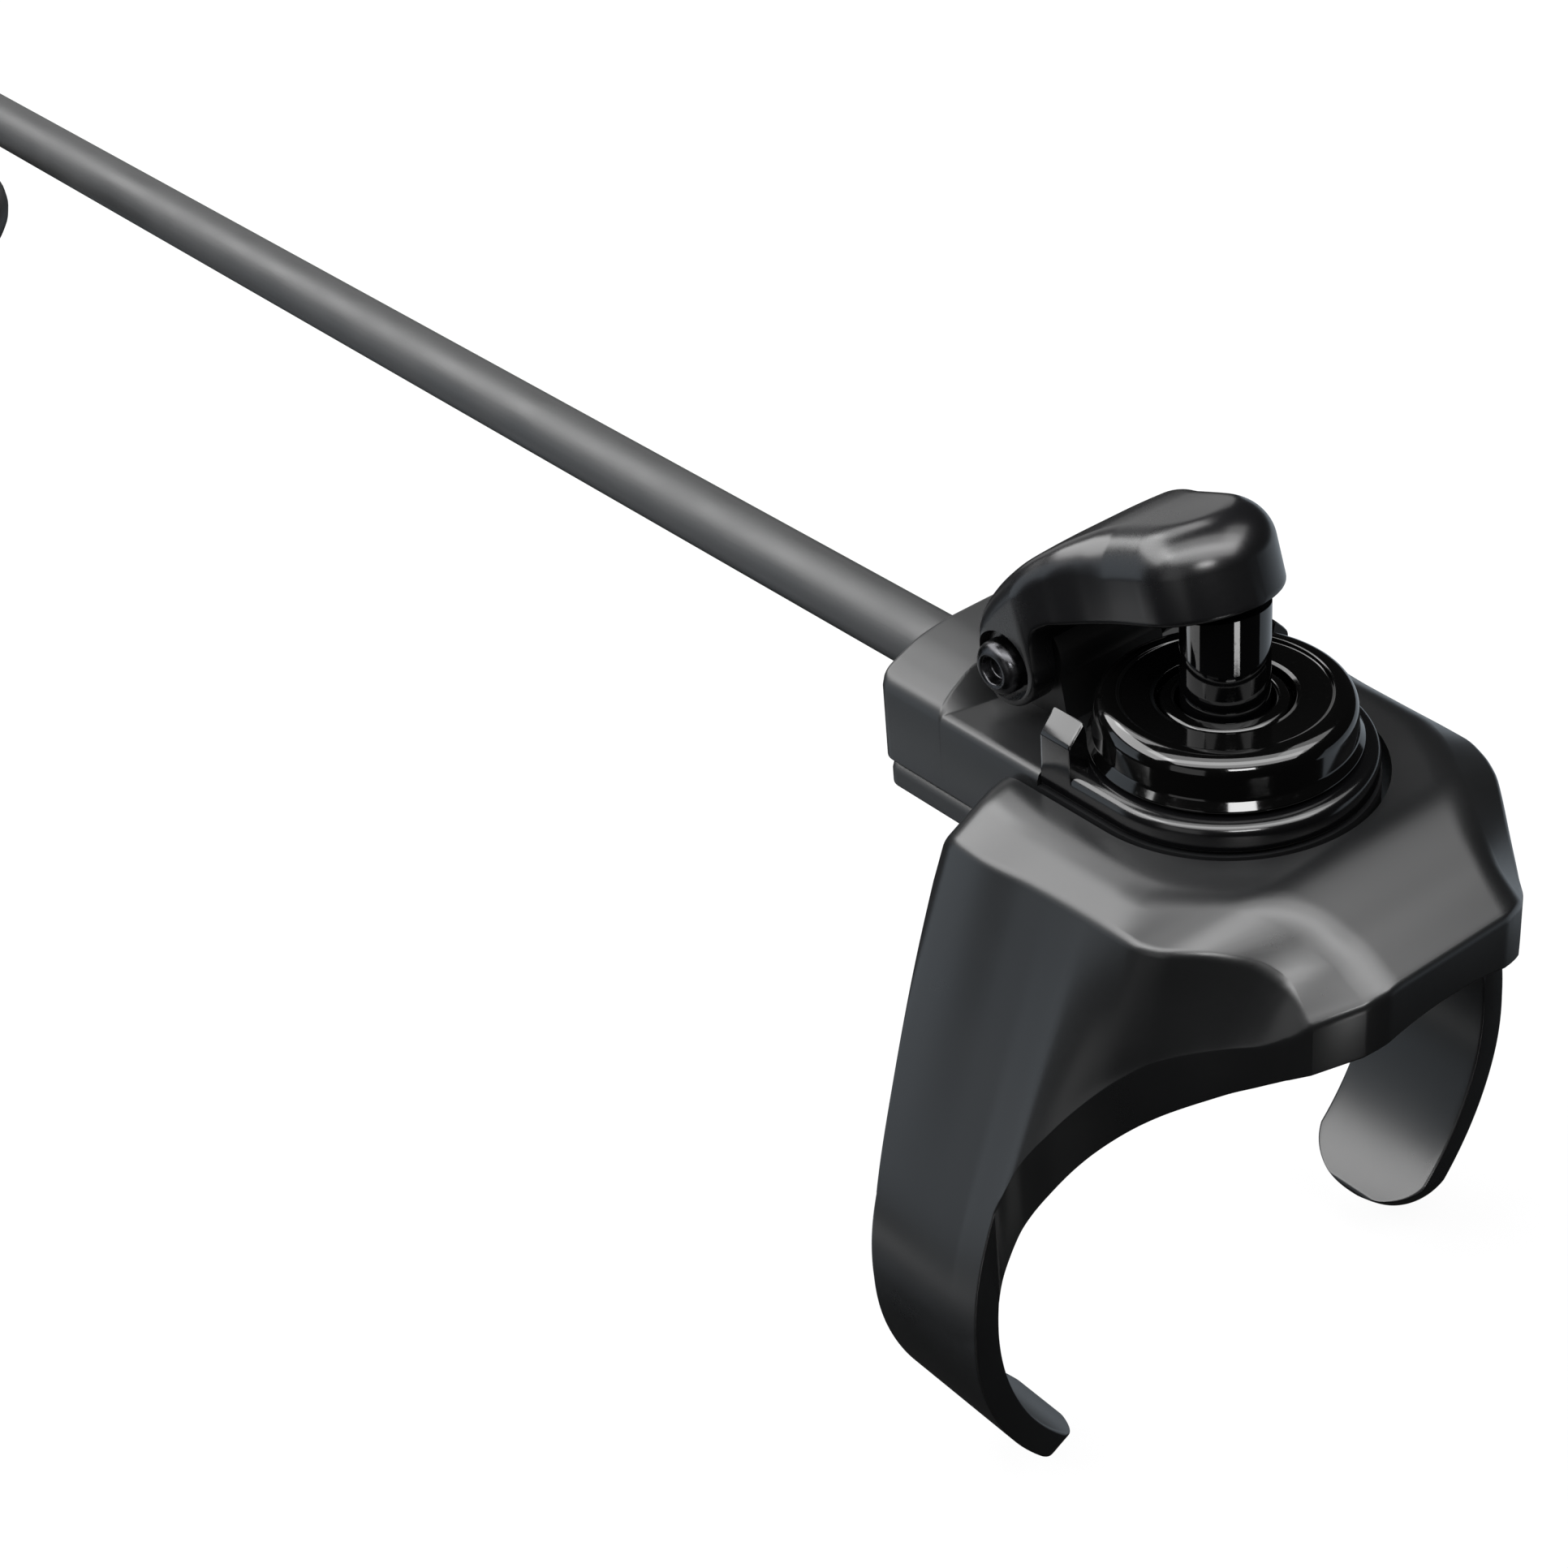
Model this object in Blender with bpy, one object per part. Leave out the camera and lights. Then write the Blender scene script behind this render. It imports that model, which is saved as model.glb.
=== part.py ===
"""Remote sprint shifter: a clip for a handlebar, a sealed switch block, a lever and its cable.

Metres, +Z up. The origin is on the handlebar's axis, straight below the plunger.
+X runs along the bar to the front of the clip, and the cable leaves along -X.
"""

import math

import bmesh
import bpy
import numpy as np
from mathutils import Matrix, Vector

MM = 0.001

# Fits
SEAT_GAP = 0.30 * MM
INNER_GAP = 0.15 * MM

# Handlebar and the heights that follow from it
BAR_RADIUS = 12.0 * MM
COVER_BOTTOM_Z = BAR_RADIUS + 0.4 * MM
BLOCK_SPLIT_Z = COVER_BOTTOM_Z + 1.1 * MM
BLOCK_SEAT_Z = BLOCK_SPLIT_Z + 3.1 * MM
DECK_Z = BLOCK_SEAT_Z - 0.4 * MM

# Switch block
BLOCK_HALF_WIDTH = 5.0 * MM
BLOCK_BACK_X = -11.6 * MM
BLOCK_NOSE_Z = BLOCK_SEAT_Z - 0.5 * MM
ROOF_HEIGHT = 1.15 * MM
ROOF_FRONT_X = -9.3 * MM
BLOCK_WALL = 1.6 * MM
CHAMBER_ROOF_Z = BLOCK_NOSE_Z - 0.1 * MM
CHAMBER_BACK_X = BLOCK_BACK_X + 1.3 * MM
CHAMBER_STEP_X = CHAMBER_BACK_X + 2.6 * MM
CHAMBER_NECK = 2.6 * MM
RAIL_HEIGHT = 0.8 * MM
RAIL_DEPTH = 0.5 * MM
RAIL_Z = BLOCK_SPLIT_Z + 0.5 * MM

# Clip
CLIP_WALL = 1.0 * MM
TONGUE_WALL = 0.75 * MM
TONGUE_PINCH = 0.45 * MM
TONGUE_TIP_ANGLE = -46.0
ARM_FRONT_X = 1.53 * MM
ARM_BACK_X = -3.8 * MM
CLIP_BACK_X = ARM_BACK_X - 1.2 * MM
CLIP_FRONT_X = BLOCK_HALF_WIDTH + 4.65 * MM
DECK_SLOPE_START_X = CLIP_FRONT_X - 4.15 * MM
DECK_FRONT_Z = DECK_Z - 2.45 * MM
SHOULDER_HALF_WIDTH = BLOCK_HALF_WIDTH + 2.8 * MM
SHOULDER_DROP = 1.4 * MM
SHOULDER_BAND = 1.7 * MM
FRONT_HALF_WIDTH = 3.7 * MM

# Bottom cover
COVER_INSET = 0.1 * MM
COVER_FLOOR = 0.55 * MM
COVER_SCREW_RADIUS = 0.4 * MM
COVER_SCREW_HEAD = COVER_SCREW_RADIUS + 0.3 * MM
COVER_SCREW_END_Z = BLOCK_SPLIT_Z + 1.6 * MM

# Plunger
PLUNGER_RADIUS = 1.45 * MM
PLUNGER_DOME_RADIUS = PLUNGER_RADIUS + 1.05 * MM

# Nose cover, boot and seal
NOSE_TOP_Z = BLOCK_SEAT_Z + 0.6 * MM
NOSE_RADIUS = BLOCK_HALF_WIDTH - 0.05 * MM
NOSE_LEDGE = 0.5 * MM
TAB_LENGTH = 1.4 * MM
TAB_HEIGHT = 1.3 * MM
BOOT_BASE_RADIUS = NOSE_RADIUS - NOSE_LEDGE
BOOT_SHOULDER_RADIUS = BOOT_BASE_RADIUS - 0.55 * MM
BOOT_INNER_RADIUS = BOOT_BASE_RADIUS - 1.25 * MM
NOSE_STEP_X = -(BOOT_BASE_RADIUS - 0.95 * MM)
BOOT_TOP_Z = NOSE_TOP_Z + 1.9 * MM
BOOT_HOLE_RADIUS = PLUNGER_RADIUS + 0.8 * MM
BOOT_WALL = 0.6 * MM
PLUNGER_FLANGE_RADIUS = BOOT_HOLE_RADIUS + 0.15 * MM
PLUNGER_BOTTOM_Z = NOSE_TOP_Z - 0.25 * MM

# Lever
PIVOT_X = -6.6 * MM
PIVOT_Z = BLOCK_SEAT_Z + 2.1 * MM
LEVER_PITCH = math.radians(18.0)
EAR_HALF_WIDTH = 3.6 * MM
EAR_WALL = 1.0 * MM
LUG_RADIUS = 1.45 * MM
LUG_HALF_WIDTH = EAR_HALF_WIDTH - EAR_WALL - SEAT_GAP
EAR_RADIUS = LUG_RADIUS + 0.05 * MM
LEVER_UNDERSIDE = 1.46 * MM
CAP_REACH = 6.5 * MM
CAP_RADIUS = 2.6 * MM
CAP_HEIGHT = 3.22 * MM
CAP_CROWN = 0.1 * MM
PIN_RADIUS = 0.7 * MM
PIN_HEAD_RADIUS = PIN_RADIUS + 0.25 * MM
PIN_HEAD_PROUD = 0.5 * MM
COUNTERBORE_RADIUS = PIN_HEAD_RADIUS + SEAT_GAP
COUNTERBORE_DEPTH = 0.4 * MM

# Switch
SWITCH_HALF_SIZE = 2.5 * MM
BOARD_BOTTOM_Z = COVER_BOTTOM_Z + COVER_FLOOR + 0.2 * MM
BOARD_THICKNESS = 0.5 * MM
BOARD_BACK_X = CHAMBER_STEP_X + 1.3 * MM
SWITCH_BOTTOM_Z = BOARD_BOTTOM_Z + BOARD_THICKNESS + 0.2 * MM
SWITCH_TOP_Z = CHAMBER_ROOF_Z - 0.5 * MM
SWITCH_WELL_RADIUS = SWITCH_HALF_SIZE - 0.6 * MM
SWITCH_WELL_Z = SWITCH_BOTTOM_Z + 0.25 * MM
STEM_RADIUS = 0.95 * MM
STEM_FLANGE_RADIUS = 1.5 * MM
STEM_FLANGE = 0.2 * MM
FRAME_THICKNESS = 0.2 * MM
FRAME_HALF_WIDTH = 1.4 * MM
DOME_THICKNESS = 0.15 * MM

# Cable, its coil and plug
CABLE_RADIUS = 1.25 * MM
CABLE_Z = BLOCK_SPLIT_Z + MM
CABLE_END_X = CHAMBER_BACK_X + 1.4 * MM
COIL_X = -96.0 * MM
COIL_RADIUS = 13.0 * MM
COIL_TURNS = 2
TURN_PITCH = 2.65 * MM
TAIL_END_X = -105.5 * MM
FERRULE_WALL = 0.25 * MM
FERRULE_LENGTH = 1.2 * MM
WIRE_RADIUS = 0.35 * MM
TIE_WIDTH = 3.0 * MM
TIE_WALL = 0.6 * MM
PLUG_RADIUS = 2.2 * MM
PLUG_LENGTH = 12.0 * MM


def clear_scene():
    for obj in list(bpy.data.objects):
        bpy.data.objects.remove(obj, do_unlink=True)


def make_material(name, colour, roughness, metallic=0.0):
    material = bpy.data.materials.new(name)
    material.use_nodes = True
    shader = material.node_tree.nodes["Principled BSDF"]
    shader.inputs["Base Color"].default_value = (*colour, 1.0)
    shader.inputs["Roughness"].default_value = roughness
    shader.inputs["Metallic"].default_value = metallic
    material.diffuse_color = (*colour, 1.0)
    return material


def finish_mesh(name, bm, material, sharp_angle=35.0):
    """Turn a bmesh into a smooth-shaded object with its own material."""
    bmesh.ops.recalc_face_normals(bm, faces=bm.faces)
    mesh = bpy.data.meshes.new(name)
    bm.to_mesh(mesh)
    bm.free()
    obj = bpy.data.objects.new(name, mesh)
    bpy.context.scene.collection.objects.link(obj)
    if material is not None:
        mesh.materials.append(material)
    mesh.shade_smooth()
    mesh.set_sharp_from_angle(angle=math.radians(sharp_angle))
    return obj


def loft(name, rings, material=None, closed=False):
    """Skin over rings of equal size; the ends are flat faces, or meet when closed."""
    bm = bmesh.new()
    rows = [[bm.verts.new(point) for point in ring] for ring in rings]
    size = len(rows[0])
    pairs = list(zip(rows, rows[1:]))
    if closed:
        pairs.append((rows[-1], rows[0]))
    for near, far in pairs:
        for i in range(size):
            j = (i + 1) % size
            bm.faces.new((near[i], near[j], far[j], far[i]))
    if not closed:
        bm.faces.new(rows[0])
        bm.faces.new(rows[-1])
    return finish_mesh(name, bm, material)


AXIS_FRAMES = {
    "X": Matrix(((0, 0, 1), (1, 0, 0), (0, 1, 0))),
    "Y": Matrix(((1, 0, 0), (0, 0, 1), (0, 1, 0))),
    "Z": Matrix(((1, 0, 0), (0, 1, 0), (0, 0, 1))),
}


def prism(name, outline, axis, low, high, material=None):
    """Extrude a flat outline along an axis: (y, z) for X, (x, z) for Y and (x, y) for Z."""
    frame = AXIS_FRAMES[axis]
    rings = [[frame @ Vector((a, b, level)) for a, b in outline] for level in (low, high)]
    return loft(name, rings, material)


def turned(name, profile, material=None, centre=(0.0, 0.0, 0.0), axis="Z", steps=48):
    """Spin a closed (radius, height) profile about an axis; points at radius 0 are poles."""
    frame = AXIS_FRAMES[axis]
    start = Vector(centre)
    bm = bmesh.new()
    columns = []
    for radius, height in profile:
        if radius < 1e-9:
            columns.append([bm.verts.new(start + frame @ Vector((0.0, 0.0, height)))])
            continue
        turns = [2.0 * math.pi * i / steps for i in range(steps)]
        ring = [Vector((radius * math.cos(t), radius * math.sin(t), height)) for t in turns]
        columns.append([bm.verts.new(start + frame @ point) for point in ring])
    for near, far in zip(columns, columns[1:] + columns[:1]):
        if len(near) == 1 and len(far) == 1:
            continue
        for i in range(steps):
            j = (i + 1) % steps
            corners = [near[i % len(near)], near[j % len(near)], far[j % len(far)], far[i % len(far)]]
            bm.faces.new(list(dict.fromkeys(corners)))
    return finish_mesh(name, bm, material)


def apply_modifier(obj, kind, **settings):
    """Apply one modifier to an object's mesh and drop it again."""
    modifier = obj.modifiers.new(kind.title(), kind)
    for key, value in settings.items():
        setattr(modifier, key, value)
    graph = bpy.context.evaluated_depsgraph_get()
    mesh = bpy.data.meshes.new_from_object(obj.evaluated_get(graph))
    obj.modifiers.remove(modifier)
    obj.data = mesh
    mesh.shade_smooth()
    mesh.set_sharp_from_angle(angle=math.radians(35.0))


def combine(obj, tool, operation):
    """Cut, join or keep with an exact Boolean, then remove the tool."""
    apply_modifier(obj, "BOOLEAN", object=tool, operation=operation, solver="EXACT")
    bpy.data.objects.remove(tool, do_unlink=True)


def cut(obj, *tools):
    for tool in tools:
        combine(obj, tool, "DIFFERENCE")


def join(obj, *tools):
    for tool in tools:
        combine(obj, tool, "UNION")


def arc(centre, radius, start, end, count):
    """Points on an arc in a plane, from one angle to another in degrees."""
    angles = np.radians(np.linspace(start, end, count))
    return [(centre[0] + radius * math.cos(a), centre[1] + radius * math.sin(a)) for a in angles]


def smooth_keys(keys):
    """A curve through (x, y) keys that rises and falls only where they do."""
    xs = np.array([key[0] for key in keys])
    ys = np.array([key[1] for key in keys])
    slopes = np.diff(ys) / np.diff(xs)
    same_way = slopes[:-1] * slopes[1:] > 0.0
    inner = np.zeros(len(slopes) - 1)
    inner[same_way] = 2.0 * (slopes[:-1] * slopes[1:])[same_way] / (slopes[:-1] + slopes[1:])[same_way]
    tangents = np.concatenate(([slopes[0]], inner, [slopes[-1]]))

    def value(x):
        i = int(np.clip(np.searchsorted(xs, x) - 1, 0, len(slopes) - 1))
        width = xs[i + 1] - xs[i]
        t = float(np.clip((x - xs[i]) / width, 0.0, 1.0))
        start = ys[i] * (1 + 2 * t) * (1 - t) ** 2 + width * tangents[i] * t * (1 - t) ** 2
        end = ys[i + 1] * t * t * (3 - 2 * t) + width * tangents[i + 1] * t * t * (t - 1)
        return float(start + end)

    return value


def nose_outline(half_width, back_x, steps=24):
    """The block's plan: straight sides from the back and a half-round nose at the plunger."""
    return arc((0.0, 0.0), half_width, -90.0, 90.0, steps) + [(back_x, half_width), (back_x, -half_width)]


def mirrored(points):
    """Follow points given for -Y by their mirror images, to close an outline."""
    return points + [(-y, z) for y, z in reversed(points)]


def clip_bracket(material):
    outer_radius = BAR_RADIUS + CLIP_WALL
    deck = smooth_keys([
        (CLIP_BACK_X, DECK_Z),
        (DECK_SLOPE_START_X, DECK_Z - 0.02 * MM),
        (DECK_SLOPE_START_X + 2.3 * MM, DECK_Z - 1.15 * MM),
        (CLIP_FRONT_X, DECK_FRONT_Z),
    ])
    low_width = smooth_keys([
        (CLIP_BACK_X, SHOULDER_HALF_WIDTH - 0.4 * MM),
        (CLIP_BACK_X + 0.7 * MM, SHOULDER_HALF_WIDTH),
        (CLIP_FRONT_X - 5.25 * MM, SHOULDER_HALF_WIDTH - 0.05 * MM),
        (CLIP_FRONT_X - 3.55 * MM, SHOULDER_HALF_WIDTH - 1.3 * MM),
        (CLIP_FRONT_X - 2.05 * MM, FRONT_HALF_WIDTH + 1.5 * MM),
        (CLIP_FRONT_X - 0.65 * MM, FRONT_HALF_WIDTH + 1.05 * MM),
        (CLIP_FRONT_X, FRONT_HALF_WIDTH + 0.35 * MM),
    ])
    band = smooth_keys([
        (CLIP_BACK_X, SHOULDER_BAND),
        (CLIP_FRONT_X - 3.35 * MM, SHOULDER_BAND + 0.4 * MM),
        (CLIP_FRONT_X, 0.55 * MM),
    ])
    drop = smooth_keys([
        (CLIP_BACK_X, SHOULDER_DROP),
        (CLIP_FRONT_X - 3.65 * MM, SHOULDER_DROP + 0.1 * MM),
        (CLIP_FRONT_X - 1.65 * MM, SHOULDER_DROP - 0.35 * MM),
        (CLIP_FRONT_X, 0.35 * MM),
    ])
    foot = smooth_keys([
        (ARM_FRONT_X - 1.23 * MM, 13.0),
        (ARM_FRONT_X, 18.0),
        (ARM_FRONT_X + 0.5 * MM, 27.0),
        (ARM_FRONT_X + 1.2 * MM, 35.0),
        (ARM_FRONT_X + 2.0 * MM, 42.5),
        (ARM_FRONT_X + 3.2 * MM, 50.5),
        (CLIP_FRONT_X - 3.3 * MM, 58.0),
        (CLIP_FRONT_X - 1.55 * MM, 65.5),
        (CLIP_FRONT_X, 72.0),
    ])

    def around(angle, share):
        """Point of the arm's wall: inside face at share 0, outside face at share 1."""
        below = min(max(angle / TONGUE_TIP_ANGLE, 0.0), 1.0)
        wall = CLIP_WALL + (TONGUE_WALL - CLIP_WALL) * below
        radius = BAR_RADIUS - TONGUE_PINCH * below ** 1.5 + wall * share
        turn = math.radians(angle)
        return (radius * math.cos(turn), radius * math.sin(turn))

    def section(x):
        """The C-shaped section at one place along the bar."""
        top = deck(x)
        low = (low_width(x), top - drop(x))
        high = (low[0] - band(x), top)
        foot_angle = foot(x)
        points = [around(angle, 1.0) for angle in np.linspace(TONGUE_TIP_ANGLE, foot_angle, 12)]
        wall_foot = points[-1]
        points += [tuple(np.array(wall_foot) * (1 - t) + np.array(low) * t) for t in (0.35, 0.7, 0.93)]
        points.append((low[0] * 0.985 + high[0] * 0.015, low[1] + 0.12 * MM))
        points += [tuple(np.array(low) * (1 - t) + np.array(high) * t) for t in (0.25, 0.8)]
        points.append((high[0] - 0.35 * MM, high[1]))
        half = [(-y, z) for y, z in points]
        quarter = [around(angle, 0.0) for angle in np.linspace(TONGUE_TIP_ANGLE, 90.0, 17)]
        inner = quarter + [(-y, z) for y, z in reversed(quarter[:-1])]
        return half + [(-y, z) for y, z in reversed(half)] + inner

    stations = np.concatenate((
        np.linspace(CLIP_BACK_X, CLIP_BACK_X + 0.7 * MM, 4),
        np.linspace(ARM_BACK_X + 1.3 * MM, ARM_FRONT_X - 1.23 * MM, 3),
        np.linspace(ARM_FRONT_X - 0.6 * MM, CLIP_FRONT_X, 19),
    ))
    rings = [[Vector((x, y, z)) for y, z in section(x)] for x in stations]
    clip = loft("clip_bracket", rings, material)

    beyond = BAR_RADIUS + 8.0 * MM
    rim = [
        (ARM_FRONT_X, beyond),
        (ARM_FRONT_X, 1.004 * BAR_RADIUS),
        (ARM_FRONT_X + 0.12 * MM, 0.983 * BAR_RADIUS),
        (ARM_FRONT_X + 0.52 * MM, 0.938 * BAR_RADIUS),
        (ARM_FRONT_X + 1.17 * MM, 0.867 * BAR_RADIUS),
        (ARM_FRONT_X + 1.97 * MM, 0.788 * BAR_RADIUS),
        (ARM_FRONT_X + 3.22 * MM, 0.679 * BAR_RADIUS),
        (CLIP_FRONT_X - 3.30 * MM, 0.562 * BAR_RADIUS),
        (CLIP_FRONT_X - 1.55 * MM, 0.433 * BAR_RADIUS),
        (CLIP_FRONT_X - 0.80 * MM, 0.375 * BAR_RADIUS),
        (CLIP_FRONT_X - 0.30 * MM, 0.329 * BAR_RADIUS),
        (CLIP_FRONT_X - 0.05 * MM, 0.283 * BAR_RADIUS),
    ]
    back = [(CLIP_BACK_X - MM, beyond), (CLIP_BACK_X - MM, -beyond)]
    plan = [(x, -y) for x, y in rim] + list(reversed(rim)) + back
    combine(clip, prism("rim_plan", plan, "Z", -beyond, beyond), "INTERSECT")
    back_edge = [
        (ARM_BACK_X, 0.25 * BAR_RADIUS),
        (CLIP_BACK_X - 0.1 * MM, COVER_BOTTOM_Z + 2.1 * MM),
        (CLIP_BACK_X - 3.0 * MM, COVER_BOTTOM_Z + 2.1 * MM),
        (CLIP_BACK_X - 3.0 * MM, -beyond),
        (ARM_BACK_X, -beyond),
    ]
    arm_taper = 0.2 * MM
    below_front = [
        (ARM_FRONT_X - arm_taper, -1.25 * BAR_RADIUS),
        (CLIP_FRONT_X + MM, -1.25 * BAR_RADIUS),
        (CLIP_FRONT_X + MM, 0.1 * BAR_RADIUS),
        (ARM_FRONT_X + 0.1 * arm_taper, 0.1 * BAR_RADIUS),
    ]
    cut(clip, prism("back_edge", back_edge, "Y", -beyond, beyond),
        prism("below_front", below_front, "Y", -beyond, beyond))

    tongue_middle = 0.5 * (ARM_FRONT_X + ARM_BACK_X)
    tongue_radius = 0.55 * (ARM_FRONT_X - ARM_BACK_X)
    tip_drop = outer_radius * math.radians(-TONGUE_TIP_ANGLE)
    for side in (-1.0, 1.0):
        straight_end = -(tip_drop - tongue_radius)
        round_end = arc((tongue_middle, straight_end), tongue_radius, 200.0, 340.0, 17)
        far = straight_end - 2.0 * tongue_radius
        shoulder = round_end[0][1]
        outline = [(ARM_BACK_X - MM, shoulder)] + round_end + [(ARM_FRONT_X + MM, shoulder)]
        outline += [(ARM_FRONT_X + MM, far), (ARM_BACK_X - MM, far)]
        rings = []
        for radius in (BAR_RADIUS - 2.0 * MM, outer_radius + MM):
            ring = []
            for x, drop_along in outline:
                angle = drop_along / outer_radius
                ring.append(Vector((x, side * radius * math.cos(angle), radius * math.sin(angle))))
            rings.append(ring)
        cut(clip, loft("tongue_end", rings))

    pocket_half = BLOCK_HALF_WIDTH + SEAT_GAP
    pocket = nose_outline(pocket_half, CLIP_BACK_X - 2.0 * MM, 33)
    cut(clip, prism("pocket", pocket, "Z", 0.6 * BAR_RADIUS, DECK_Z + 2.0 * MM))
    groove_depth = pocket_half + RAIL_DEPTH
    groove = [
        (-groove_depth, RAIL_Z - SEAT_GAP),
        (groove_depth, RAIL_Z - SEAT_GAP),
        (groove_depth, RAIL_Z + RAIL_HEIGHT + SEAT_GAP),
        (-groove_depth, RAIL_Z + RAIL_HEIGHT + SEAT_GAP),
    ]
    cut(clip, prism("rail_groove", groove, "X", CLIP_BACK_X - 2.0 * MM, SEAT_GAP))
    return clip


def switch_housing(material):
    outline = nose_outline(BLOCK_HALF_WIDTH, BLOCK_BACK_X, 33)
    housing = prism("switch_housing", outline, "Z", BLOCK_SPLIT_Z, BLOCK_SEAT_Z, material)

    half = BLOCK_HALF_WIDTH
    roof = mirrored([
        (-half + 0.02 * MM, BLOCK_SEAT_Z - MM),
        (-half + 0.02 * MM, BLOCK_SEAT_Z),
        (-half + 0.32 * MM, BLOCK_SEAT_Z + 0.45 * ROOF_HEIGHT),
        (-half + 0.95 * MM, BLOCK_SEAT_Z + 0.72 * ROOF_HEIGHT),
        (-0.5 * half, BLOCK_SEAT_Z + 0.9 * ROOF_HEIGHT),
        (-0.2 * half, BLOCK_SEAT_Z + ROOF_HEIGHT),
    ])
    back_roof = prism("roof", roof, "X", BLOCK_BACK_X + 0.02 * MM, PIVOT_X, None)
    front_line = [
        (BLOCK_BACK_X - MM, -half - MM),
        (ROOF_FRONT_X - 0.1 * MM, -half - MM),
        (ROOF_FRONT_X + 0.8 * MM, -LUG_HALF_WIDTH),
        (ROOF_FRONT_X + 0.8 * MM, LUG_HALF_WIDTH),
        (ROOF_FRONT_X - 0.1 * MM, half + MM),
        (BLOCK_BACK_X - MM, half + MM),
    ]
    combine(back_roof, prism("roof_front", front_line, "Z", BLOCK_SPLIT_Z, BLOCK_SEAT_Z + 2.0 * ROOF_HEIGHT),
            "INTERSECT")

    top_z = BLOCK_SEAT_Z + ROOF_HEIGHT
    lug_outline = arc((PIVOT_X, PIVOT_Z), LUG_RADIUS, -20.0, 148.0, 17)
    lug_outline += [
        (PIVOT_X - 2.4 * MM, top_z - 0.15 * MM),
        (PIVOT_X - 3.4 * MM, top_z - 0.5 * MM),
        (PIVOT_X - 3.4 * MM, BLOCK_SEAT_Z - 0.3 * MM),
        (PIVOT_X + LUG_RADIUS + 0.3 * MM, BLOCK_SEAT_Z - 0.3 * MM),
    ]
    lug = prism("lug", lug_outline, "Y", -LUG_HALF_WIDTH, LUG_HALF_WIDTH)
    join(housing, back_roof, lug)

    for side in (-1.0, 1.0):
        rail = [
            (side * (half - 0.4 * MM), RAIL_Z),
            (side * (half + RAIL_DEPTH), RAIL_Z),
            (side * (half + RAIL_DEPTH), RAIL_Z + RAIL_HEIGHT),
            (side * (half - 0.4 * MM), RAIL_Z + RAIL_HEIGHT),
        ]
        join(housing, prism("rail", rail, "X", CLIP_BACK_X + 0.6 * MM, -SEAT_GAP))

    cut(housing, prism("nose_step", nose_step_outline(), "Z", BLOCK_NOSE_Z, BLOCK_SEAT_Z + MM))
    lip = half - BLOCK_WALL - 0.1 * MM
    cut(housing, prism("chamber", chamber_outline(), "Z", BLOCK_SPLIT_Z - MM, CHAMBER_ROOF_Z))
    cut(housing, turned("nose_bore", [(0, BLOCK_SPLIT_Z + MM), (lip, BLOCK_SPLIT_Z + MM),
                                      (lip, BLOCK_SEAT_Z + MM), (0, BLOCK_SEAT_Z + MM)], steps=48))
    cut(housing, cable_way())
    pin_bore = PIN_RADIUS + INNER_GAP
    side = EAR_HALF_WIDTH
    cut(housing, turned("pin_bore", [(0, -side), (pin_bore, -side), (pin_bore, side), (0, side)],
                        centre=(PIVOT_X, 0, PIVOT_Z), axis="Y", steps=32))
    for x, y in cover_screw_places():
        radius = COVER_SCREW_RADIUS + INNER_GAP
        cut(housing, turned("screw_bore", [(0, BLOCK_SPLIT_Z - MM), (radius, BLOCK_SPLIT_Z - MM),
                                           (radius, COVER_SCREW_END_Z + SEAT_GAP),
                                           (0, COVER_SCREW_END_Z + SEAT_GAP)],
                            centre=(x, y, 0), steps=16))
    return housing


def nose_step_outline():
    """Plan of the lowered nose, which runs round the boot's foot behind its straight back edge."""
    wide = BLOCK_HALF_WIDTH + MM
    turn = math.degrees(math.acos(NOSE_STEP_X / BOOT_BASE_RADIUS))
    front = arc((0.0, 0.0), wide, -90.0, 90.0, 17)
    around_boot = arc((0.0, 0.0), BOOT_BASE_RADIUS, turn, 360.0 - turn, 13)
    return front + [(NOSE_STEP_X, wide)] + around_boot + [(NOSE_STEP_X, -wide)]


def chamber_outline():
    """Plan of the space inside the block, narrower between the two cover screws."""
    inside = BLOCK_HALF_WIDTH - BLOCK_WALL
    nose = arc((0.0, 0.0), inside, -90.0, 90.0, 25)
    return nose + [
        (CHAMBER_STEP_X, inside),
        (CHAMBER_STEP_X, CHAMBER_NECK),
        (CHAMBER_BACK_X, CHAMBER_NECK),
        (CHAMBER_BACK_X, -CHAMBER_NECK),
        (CHAMBER_STEP_X, -CHAMBER_NECK),
        (CHAMBER_STEP_X, -inside),
    ]


def cable_way():
    """Cutter for the cable's bore and, inside, the wider bed that holds its crimped ring."""
    bore = CABLE_RADIUS + INNER_GAP
    bed = CABLE_RADIUS + FERRULE_WALL + 2.0 * INNER_GAP
    bed_start = CHAMBER_BACK_X - 0.1 * MM
    bed_end = CHAMBER_BACK_X + FERRULE_LENGTH + 3.0 * INNER_GAP
    outside = BLOCK_BACK_X - MM
    profile = [(0, outside), (bore, outside), (bore, bed_start), (bed, bed_start), (bed, bed_end), (0, bed_end)]
    return turned("cable_way", profile, centre=(0, 0, CABLE_Z), axis="X", steps=32)


def cover_screw_places():
    middle = 0.5 * (CHAMBER_NECK + BLOCK_HALF_WIDTH)
    return [(0.5 * (CHAMBER_BACK_X + CHAMBER_STEP_X), side * middle) for side in (-1.0, 1.0)]


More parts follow.
